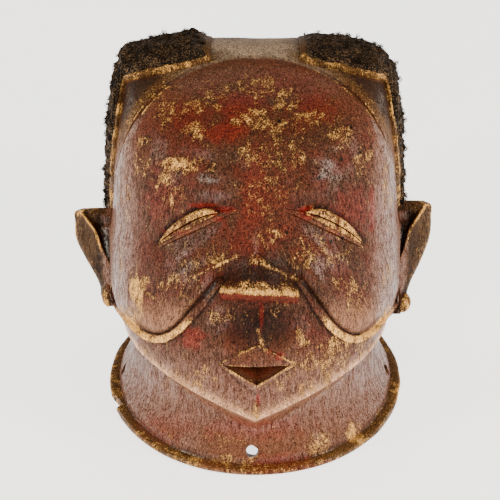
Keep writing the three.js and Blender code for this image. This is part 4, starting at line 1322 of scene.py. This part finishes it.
def bare_crown(skin):
    """Grey-brown wood behind the crease and between the beds, which ends on the back."""
    between = fade(skin.bed_gap, 0, 1) * fade(skin.over, 68, 80) * (1 - fade(skin.aside, 14, 24))
    crown = 0.9 * skin.behind * (1 - fade(np.abs(skin.across) + 4 * skin.rag, 42, 66))
    crown = np.maximum(crown, between * (1 - skin.forehead))
    return crown * (1 - fade(skin.over + 9 * skin.rag, 100, 160)) * (1 - skin.bed)


def dark_panels(skin):
    """Dark wood beside the forehead, between the crease and the beds."""
    panel = fade(skin.bed_gap, 0.3, 1.2) * skin.behind * fade(np.abs(skin.across), 40, 56)
    return panel * fade(skin.up, 138, 164) * fade(skin.crease, 2.5, 7)


def paint_marks(points, normals, ends):
    """Masks from 0 to 1 for the material, at the vertices."""
    skin = Surface(points, normals, ends)
    lids, slit, below_eye = eye_paint(skin)
    worn = worn_paint(skin, lids)
    # dark: painted shade, and the back's browner paint
    dark = grime_and_shade(skin, worn, slit)
    masks = (
        np.maximum.reduce([worn, 0.42 * skin.rim * skin.outside, 0.2 * skin.golden]),
        bright_red(skin),
        dark,
        # The rosy paint is partly faded paint and partly painted side light.
        faded_and_side_lit_paint(skin, below_eye),
        # pale: a painted highlight along the jaw's edge and on the lower cheeks
        0.8 * skin.jaw_edge * (1 + 0.4 * skin.rag) + 0.14 * skin.cheek_low * skin.front,
        polish(skin, dark),
        bare_crown(skin),
        dark_panels(skin),
        np.maximum.reduce([skin.ear, skin.rim, skin.bed, 0.8 * skin.golden]),
        1 - skin.outside,
    )
    return {name: np.clip(values, 0, 1) for name, values in zip(PAINT_MARKS, masks)}


def set_attribute(mesh, name, values):
    layer = mesh.attributes.new(name, "FLOAT", "POINT")
    layer.data.foreach_set("value", values.astype(np.float32))


class Value:
    """A number in a material. Arithmetic on it adds Math nodes."""

    def __init__(self, sheet, socket):
        self.sheet = sheet
        self.socket = socket

    def math(self, operation, *others):
        sockets = {k: value for k, value in enumerate((self, *others))}
        return self.sheet.add("ShaderNodeMath", {"operation": operation}, sockets)

    def __add__(self, other):
        return self.math("ADD", other)

    def __sub__(self, other):
        return self.math("SUBTRACT", other)

    def __mul__(self, other):
        return self.math("MULTIPLY", other)

    def __rsub__(self, other):
        return self.sheet.add("ShaderNodeMath", {"operation": "SUBTRACT"}, {0: other, 1: self})

    __radd__ = __add__
    __rmul__ = __mul__

    def between(self, low, high):
        """0 below low, 1 above high and a smooth step between."""
        settings = {"interpolation_type": "SMOOTHSTEP"}
        sockets = {"Value": self, "From Min": low, "From Max": high}
        return self.sheet.add("ShaderNodeMapRange", settings, sockets)

    def larger(self, other):
        return self.math("MAXIMUM", other)

    def smaller(self, other):
        return self.math("MINIMUM", other)


class Sheet:
    """A material's nodes."""

    def __init__(self, name):
        self.material = bpy.data.materials.new(name)
        self.material.use_nodes = True
        self.tree = self.material.node_tree
        self.shader = self.tree.nodes["Principled BSDF"]

    def add(self, kind, settings, sockets, output=0):
        """A node of that type. Its settings are set first, then its sockets by name or number."""
        node = self.tree.nodes.new(kind)
        for name, value in settings.items():
            setattr(node, name, value)
        self.fill(node, sockets)
        return Value(self, node.outputs[output])

    def fill(self, node, sockets):
        for name, value in sockets.items():
            if isinstance(value, Value):
                self.tree.links.new(value.socket, node.inputs[name])
            else:
                node.inputs[name].default_value = value

    def attribute(self, name):
        return self.add("ShaderNodeAttribute", {"attribute_name": name}, {}, "Fac")

    def place(self, scale):
        """Object coordinates times a scale for each axis."""
        here = self.add("ShaderNodeTexCoord", {}, {}, "Object")
        return self.add("ShaderNodeMapping", {}, {"Vector": here, "Scale": scale})

    def noise(self, scale, detail=3, rough=0.55, warp=0.0):
        sockets = {"Vector": self.place(scale), "Scale": 1.0, "Detail": detail,
                   "Roughness": rough, "Distortion": warp}
        return self.add("ShaderNodeTexNoise", {}, sockets)

    def blend(self, below, above, share, mode="MIX"):
        """One colour over another by a share from 0 to 1."""
        settings = {"data_type": "RGBA", "blend_type": mode}
        return self.add("ShaderNodeMix", settings, {0: share, 6: below, 7: above}, 2)

    def toned(self, colour, factor):
        """A colour times a number."""
        return self.blend(colour, factor, 1.0, "MULTIPLY")

    def bump(self, height, distance):
        return self.add("ShaderNodeBump", {}, {"Height": height, "Distance": distance})


def shade(colour, brightness=1.0):
    return tuple(min(1.0, part * brightness) for part in colour[:3]) + (1.0,)


def insect_holes(wood):
    """Small dark dots of painted shade for the insect holes, 1 inside and 0 outside."""
    nearest = None
    for across, up in INSECT_HOLES:
        where = tuple((carved_point(across, up, 0) + SHIFT) * MM)
        here = wood.add("ShaderNodeTexCoord", {}, {}, "Object")
        settings = {"operation": "DISTANCE"}
        gap = wood.add("ShaderNodeVectorMath", settings, {0: here, 1: where}, "Value")
        nearest = gap if nearest is None else nearest.smaller(gap)
    return 1 - nearest.between(0.0007, 0.0012)


def wood_material(colours):
    """Worn paint on golden wood, grain along z, with painted shade, highlight and side light."""
    wood = Sheet("painted_wood")
    worn, bright, grime_and_shade, faded_and_side_lit, pale, gloss, bare, panel, ear, inside = (
        wood.attribute(name) for name in PAINT_MARKS
    )
    fibre = wood.noise((1100, 1100, 190), 2, 0.6)
    strand = wood.noise((460, 460, 55), 3, 0.6)
    speck = wood.noise((1400, 1400, 1100), 1, 0.5)
    patch = wood.noise((150, 150, 95), 4, 0.62, 0.4)
    cloud = wood.noise((45, 45, 30), 3, 0.55)

    mottle = (patch * 0.6 + cloud * 0.6).between(0.48, 0.72)
    paint = wood.blend(shade(colours.paint), shade(colours.brown), mottle)
    rosy = wood.blend(shade(colours.rose), shade(colours.paint, 1.1), patch.between(0.5, 0.8) * 0.5)
    # Rosy paint, partly faded and partly painted side light.
    colour = wood.blend(paint, rosy, faded_and_side_lit)
    ashen = wood.blend(shade(colours.ashen), shade(colours.ashen, 0.6), cloud.between(0.4, 0.65))
    # Painted highlight along the jaw's edge and on the lower cheeks.
    colour = wood.blend(colour, shade(colours.pale), pale * 0.9)
    colour = wood.blend(colour, ashen, bare)
    colour = wood.blend(colour, shade(colours.panel), panel)
    olive = wood.blend(shade(colours.olive), shade(colours.olive, 0.6), patch.between(0.4, 0.65))
    colour = wood.blend(colour, olive, ear)
    raw = wood.blend(shade(colours.raw), shade(colours.raw, 0.6), strand.between(0.4, 0.65))
    colour = wood.blend(colour, raw, inside)
    # Painted shade in the hollows, the slits, the crease and under the nose and the brows.
    colour = wood.blend(colour, shade(colours.umber), grime_and_shade * (0.7 + patch * 0.6))
    colour = wood.blend(colour, shade(colours.red), bright * (0.2 + patch * 1.1))

    grain = (fibre - 0.5) * 1.6 + (speck - 0.5) * 1.8 + (strand - 0.5) * 0.8
    fleck = grain * 0.6 + (patch - 0.5) * 1.9
    flecks = (worn * 0.95 + fleck).between(0.26, 0.85) * (1 - inside)
    gold = wood.blend(shade(colours.gold, 0.4), shade(colours.gold, 2.3),
                   (worn + fleck).between(0.3, 1.3))
    colour = wood.blend(colour, gold, flecks)
    tone = 1 + grain * (2.0 - flecks * 0.8 - faded_and_side_lit * 0.5)
    colour = wood.toned(colour, tone.larger(0.22))

    dot = insect_holes(wood)
    # Painted shade: near-black dots for the shade inside the insect holes.
    colour = wood.blend(colour, shade((0.008, 0.004, 0.003)), dot)

    sheen = (fibre * 0.9 + speck * 0.6 + strand * 0.7).between(0.9, 1.35)
    sheen = sheen * gloss * (1 - inside) * (1 - flecks * 0.8)
    height = fibre * 0.7 + strand * 0.5 + speck * 0.7 - flecks * 0.2 - dot * 4
    wood.fill(wood.shader, {"Base Color": colour, "Roughness": 0.62 - sheen * 0.2,
                      "Normal": wood.bump(height, 0.0006), "Coat Weight": sheen,
                      "Coat Roughness": 0.24, "Specular IOR Level": 0.08})
    return wood.material


def hair_material(colours):
    """Black-brown hair with browner worn bits."""
    hair = Sheet("hair")
    tuft = hair.noise((120, 120, 120), 3, 0.6)
    fine = hair.noise((900, 900, 900), 3, 0.7)
    share = (tuft * 0.4 + fine * 1.6).between(0.98, 1.28)
    colour = hair.blend(shade(colours.hair), shade(colours.frizz), share)
    hair.fill(hair.shader, {"Base Color": colour, "Roughness": 0.6 + fine * 0.3,
                      "Normal": hair.bump(fine, 0.0011), "Specular IOR Level": 0.08})
    return hair.material


def hair_height_at(over, aside, side, height):
    """Height of the matted hair over its bed: lumps of three sizes, lower near the borders."""
    place = on_dome(slab_directions(side, over, aside), 0)
    lumps = 0.3 * noise(place, 14, 61) + 0.5 * noise(place, 5.5, 62) + 0.7 * noise(place, 2.8, 64)
    edge = bed_gaps(over, aside).min(axis=0) + 0.5 * noise(place, 4, 65)
    turns, shares = np.array(HAIR_TALL[side]).T
    tall = height * np.interp(aside, turns, shares)
    return tall * (0.7 + 0.6 * lumps) * fade(edge, BED_MARGIN - 0.9, BED_MARGIN + 1.2)


def make_mat(name, side, height):
    """The matted hair on its bed, a closed sheet with a lumpy top."""
    over, aside = bed_places(*MAT_GRID, 1.0)
    direction = slab_directions(side, over, aside)
    plain = on_dome(direction, 0)
    low = bed_lift(over) - 0.3
    lift = low + 0.2 + np.maximum(0, hair_height_at(over, aside, side, height))
    return thicken(name, plain + direction * lift[..., None], plain + direction * low[..., None])


def lay_tufts(rng, side, height, tufts):
    """Middle, tip and outward direction of the tufts of hair on one bed, densest on top."""
    turns = np.array([rng.uniform(STRANDS_START_TURN, HAIR_BACK_TURN, tufts * 3),
                      rng.uniform(HAIR_INNER_TURN, HAIR_OUTER_TURN, tufts * 3)])
    dense = rng.uniform(0, 1, tufts * 3) < np.cos(np.radians(turns[1])) + 0.4
    dense &= bed_gaps(*turns).min(axis=0) > BED_MARGIN - 0.2
    over, aside = turns[:, dense][:, :tufts]
    normal = slab_directions(side, over, aside)
    local = hair_height_at(over, aside, side, height)
    middle = on_dome(normal, 0) + normal * (bed_lift(over) + 0.6 * local)[:, None]
    tall = rng.uniform(0.3, 0.9, (len(over), 1)) * (0.8 + 0.5 * local[:, None])
    return middle, middle + normal * tall + rng.normal(size=middle.shape) * 1.1, normal


def level_draw(rng, normal, size):
    """Random steps at right angles to the outward directions."""
    step = rng.normal(size=normal.shape) * size
    return step - normal * np.einsum("ij,ij->i", step, normal)[:, None]


def make_strands(name, side, height, count, seed):
    """Short frizzy strands in tufts: each is a three-sided tube along a curl that leans towards
    the tip of its tuft. Its centre line is a mix of root and tip by t, plus a curl radius times
    (cos, sin) of an angle that turns with t."""
    rng = np.random.default_rng(seed)
    middle, tip, normal = lay_tufts(rng, side, height, max(count // STRANDS_IN_TUFT, 1))
    chosen = rng.integers(0, len(middle), count)
    normal = normal[chosen]
    apart = level_draw(rng, normal, 1.3)
    root = middle[chosen] + apart - normal * 0.3
    tip = tip[chosen] + apart * 0.5 + rng.normal(size=(count, 3)) * 0.45
    wander = level_draw(rng, normal, 1)
    wander /= np.linalg.norm(wander, axis=1, keepdims=True)
    cross = np.cross(normal, wander)[:, None]
    root, tip, normal, wander = (each[:, None] for each in (root, tip, normal, wander))

    t = np.linspace(0, 1, STRAND_STEPS)[None, :, None]
    curl = rng.uniform(0.5, 1.3, (count, 1, 1)) * np.sqrt(t)
    angle = rng.uniform(0, 6.3, (count, 1, 1)) + t * rng.uniform(4, 11, (count, 1, 1))
    line = (
        mix(root, tip, t)
        + (wander * np.cos(angle) + cross * np.sin(angle)) * curl
        + normal * 0.5 * np.sin(1.7 * angle) * t
    )
    radius = rng.uniform(0.2, 0.36, (count, 1, 1)) * (1 - 0.6 * t)
    return make_tubes(name, line, radius, normal + 0.3 * wander)


def make_tubes(name, line, radius, beside):
    """Three-sided tubes along lines of equally many points, in one mesh."""
    count, steps = line.shape[:2]
    tangent = np.gradient(line, axis=1)
    tangent /= np.linalg.norm(tangent, axis=2, keepdims=True)
    first = np.cross(tangent, beside)
    first /= np.maximum(np.linalg.norm(first, axis=2, keepdims=True), 1e-6)
    second = np.cross(tangent, first)
    around = np.radians([0, 120, 240])[None, None, :, None]
    rings = line[:, :, None] + radius[:, :, None] * (
        first[:, :, None] * np.cos(around) + second[:, :, None] * np.sin(around)
    )
    tops = np.array([[2, 1, 0], [steps * 3 - 3, steps * 3 - 2, steps * 3 - 1]])
    starts = (np.arange(count) * steps * 3)[:, None, None]
    quads = (grid_faces(steps, 3, True)[None] + starts).reshape(-1, 4)
    caps = (tops[None] + starts).reshape(-1, 3)
    return make_mesh(name, rings.reshape(-1, 3), quads, caps)


# The camera looks along the carving direction at this place on the face, and its frame is this
# wide there.
CAMERA_ACROSS = -2.03
CAMERA_UP = 83.37
CAMERA_DEPTH = 60
FRAME_WIDTH = 330
SENSOR_WIDTH = 36

# Soft lights: name, place, width and height in metres, and power.
LIGHTS = (
    ("left", (-1.22, -0.78, 0.62), (0.35, 0.9), 17),
    ("right", (1.25, -0.72, 0.62), (0.35, 0.9), 18),
    ("left_front", (-0.36, -1.3, 0.95), (0.4, 0.3), 8),
    ("right_front", (0.85, -1.1, 0.95), (0.35, 0.3), 7),
    ("left_side", (-1.2, 0.5, 0.35), (0.45, 0.45), 8),
    ("right_side", (1.2, 0.5, 0.35), (0.45, 0.45), 8),
    ("top", (0.0, 0.6, 1.5), (0.9, 0.9), 9),
)
LIGHT_COLOUR = (1.0, 0.92, 0.77)
LIGHT_AIM = (0, 0, 0.12)
ROOM_LIGHT = 0.12
FLOOR_HALF = 12
FLOOR_DROP = 0.0003
FLOOR_GLOW = 2.0


class MASK_OT_stage(bpy.types.Operator):
    """Adds the camera, the soft lights and the pale floor"""

    bl_idname = "mask.stage"
    bl_label = "Camera, lights and floor"

    def execute(self, context):
        self.camera(context)
        for light in LIGHTS:
            self.light(context, *light)
        self.room(context)
        floor = self.floor(context)
        return {"FINISHED"}

    def camera(self, context):
        distance = context.scene.mask_sizes.camera_distance
        lens = bpy.data.cameras.new("camera")
        lens.sensor_width = SENSOR_WIDTH
        lens.lens = SENSOR_WIDTH * distance / (FRAME_WIDTH * MM)
        lens.clip_end = 100
        camera = bpy.data.objects.new("camera", lens)
        target = face_point(CAMERA_ACROSS, CAMERA_UP, CAMERA_DEPTH) * MM
        camera.location = target + CARVE_OUT * distance
        camera.rotation_euler = (math.pi / 2 - CARVE_TILT, 0, 0)
        context.collection.objects.link(camera)
        context.scene.camera = camera

    def light(self, context, name, place, size, power):
        """A soft light of a width and a height that faces the mask."""
        lamp = bpy.data.lights.new(name, "AREA")
        lamp.shape = "RECTANGLE"
        lamp.size, lamp.size_y = size
        lamp.color = LIGHT_COLOUR
        lamp.energy = power
        thing = bpy.data.objects.new(name, lamp)
        thing.location = place
        toward = np.subtract(LIGHT_AIM, place)
        level = math.hypot(toward[0], toward[1])
        thing.rotation_euler = (math.atan2(level, -toward[2]), 0, math.atan2(-toward[0], toward[1]))
        context.collection.objects.link(thing)

    def room(self, context):
        world = bpy.data.worlds.new("room")
        world.use_nodes = True
        sockets = world.node_tree.nodes["Background"].inputs
        sockets["Color"].default_value = (1, 1, 1, 1)
        sockets["Strength"].default_value = ROOM_LIGHT
        context.scene.world = world

    def floor(self, context):
        """A flat pale sheet just below the rim. It glows, and less so farther away."""
        corners = [(x * FLOOR_HALF, y * FLOOR_HALF, -FLOOR_DROP)
                   for x, y in ((-1, -1), (1, -1), (1, 1), (-1, 1))]
        mesh = bpy.data.meshes.new("floor")
        mesh.from_pydata(corners, [], [(0, 1, 2, 3)])
        floor = bpy.data.objects.new("floor", mesh)
        context.collection.objects.link(floor)
        paper = Sheet("floor")
        here = paper.add("ShaderNodeTexCoord", {}, {}, "Object")
        far = paper.add("ShaderNodeVectorMath", {"operation": "LENGTH"}, {0: here}, "Value")
        glow = paper.blend((1, 1, 1, 1), (0.5, 0.5, 0.5, 1), far.between(0.5, 1.6))
        paper.fill(paper.shader, {"Base Color": (0.86, 0.86, 0.86, 1), "Roughness": 0.9,
                                  "Emission Color": glow, "Emission Strength": FLOOR_GLOW})
        mesh.materials.append(paper.material)
        return floor


def carving_tools(hewing):
    """What is joined to the plain body or cut from it, in this order."""
    tools = [("DIFFERENCE", make_forehead_groove())]
    for side in (-1, 1):
        tools += [("UNION", make(side)) for make in (make_bed, make_ear, make_lobe)]
        tools += [("UNION", make(side, hewing)) for make in (make_cord, make_eye)]
        grooves = (make_slit, make_eye_groove, make_corner_groove)
        tools += [("DIFFERENCE", make(side)) for make in grooves]
    tools += [("UNION", make(hewing)) for make in (make_nose, make_upper_lip, make_lower_lip)]
    cuts = [make_hollow(hewing), make_mouth_cut(), make_chip()]
    front = (FRONT_HOLE_ACROSS, NECK_CENTRE_Y - NECK_FRONT_REACH, HOLE_HEIGHT - 2)
    slant = (0, math.cos(HOLE_SLANT), -math.sin(HOLE_SLANT))
    cuts.append(make_bore(front, slant, HOLE_RADIUS + 0.4))
    for side in (-1, 1):
        place = (side * NECK_HALF_WIDTH, SIDE_HOLE_Y, HOLE_HEIGHT)
        cuts.append(make_bore(place, (1.0, 0, 0), HOLE_RADIUS))
    return tools + [("DIFFERENCE", tool) for tool in cuts]


class MASK_OT_helmet(bpy.types.Operator):
    """Carves the wooden helmet and paints it"""

    bl_idname = "mask.helmet"
    bl_label = "Wooden helmet"

    def execute(self, context):
        sizes = context.scene.mask_sizes
        helmet = make_body(sizes.columns, sizes.roughness)
        cut(helmet, carving_tools(sizes.roughness))
        mesh = helmet.data
        if len(mesh.polygons) < FEWEST_FACES:
            raise RuntimeError("the helmet lost its surface when it was cut")
        mesh.shade_smooth()
        mesh.set_sharp_from_angle(angle=SHARP_ANGLE)
        points, normals = mesh_points(mesh)
        for name, values in paint_marks(points, normals, edge_ends(mesh)).items():
            set_attribute(mesh, name, values)
        mesh.materials.clear()
        mesh.materials.append(wood_material(context.scene.mask_colours))
        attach(helmet, "root")
        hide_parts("helmet")
        return {"FINISHED"}


class MASK_OT_hair(bpy.types.Operator):
    """Lays the two patches of short frizzy hair on their beds"""

    bl_idname = "mask.hair"
    bl_label = "Hair patches"

    def execute(self, context):
        sizes = context.scene.mask_sizes
        height = sizes.hair_height / MM
        material = hair_material(context.scene.mask_colours)
        for name, side in (("left", -1), ("right", 1)):
            mat = make_mat("hair_mat_" + name, side, height)
            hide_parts("hair_" + name)
            pieces = [mat]
            for k in (1, 2):
                curls = f"hair_curls_{name}_{k}"
                pieces.append(make_strands(curls, side, height, sizes.strands, 100 * k + side))
            for piece in pieces:
                piece.data.materials.append(material)
                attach(piece, "root")
        return {"FINISHED"}


class MASK_PT_panel(bpy.types.Panel):
    """The mask's sizes, colours and makers"""

    bl_idname = "MASK_PT_panel"
    bl_label = "Helmet mask"
    bl_space_type = "VIEW_3D"
    bl_region_type = "UI"
    bl_category = "Mask"

    def draw(self, context):
        for group in (context.scene.mask_sizes, context.scene.mask_colours):
            for name in group.__annotations__:
                self.layout.prop(group, name)
        for operator in (MASK_OT_stage, MASK_OT_helmet, MASK_OT_hair):
            self.layout.operator(operator.bl_idname)


CLASSES = (MaskColours, MaskSizes, MASK_OT_stage, MASK_OT_helmet, MASK_OT_hair, MASK_PT_panel)


def register():
    for each in CLASSES:
        bpy.utils.register_class(each)
    bpy.types.Scene.mask_colours = bpy.props.PointerProperty(type=MaskColours)
    bpy.types.Scene.mask_sizes = bpy.props.PointerProperty(type=MaskSizes)


def unregister():
    del bpy.types.Scene.mask_sizes
    del bpy.types.Scene.mask_colours
    for each in reversed(CLASSES):
        bpy.utils.unregister_class(each)


def main():
    register()
    bpy.ops.mask.stage()
    bpy.ops.mask.helmet()
    bpy.ops.mask.hair()


if __name__ == "__main__":
    main()
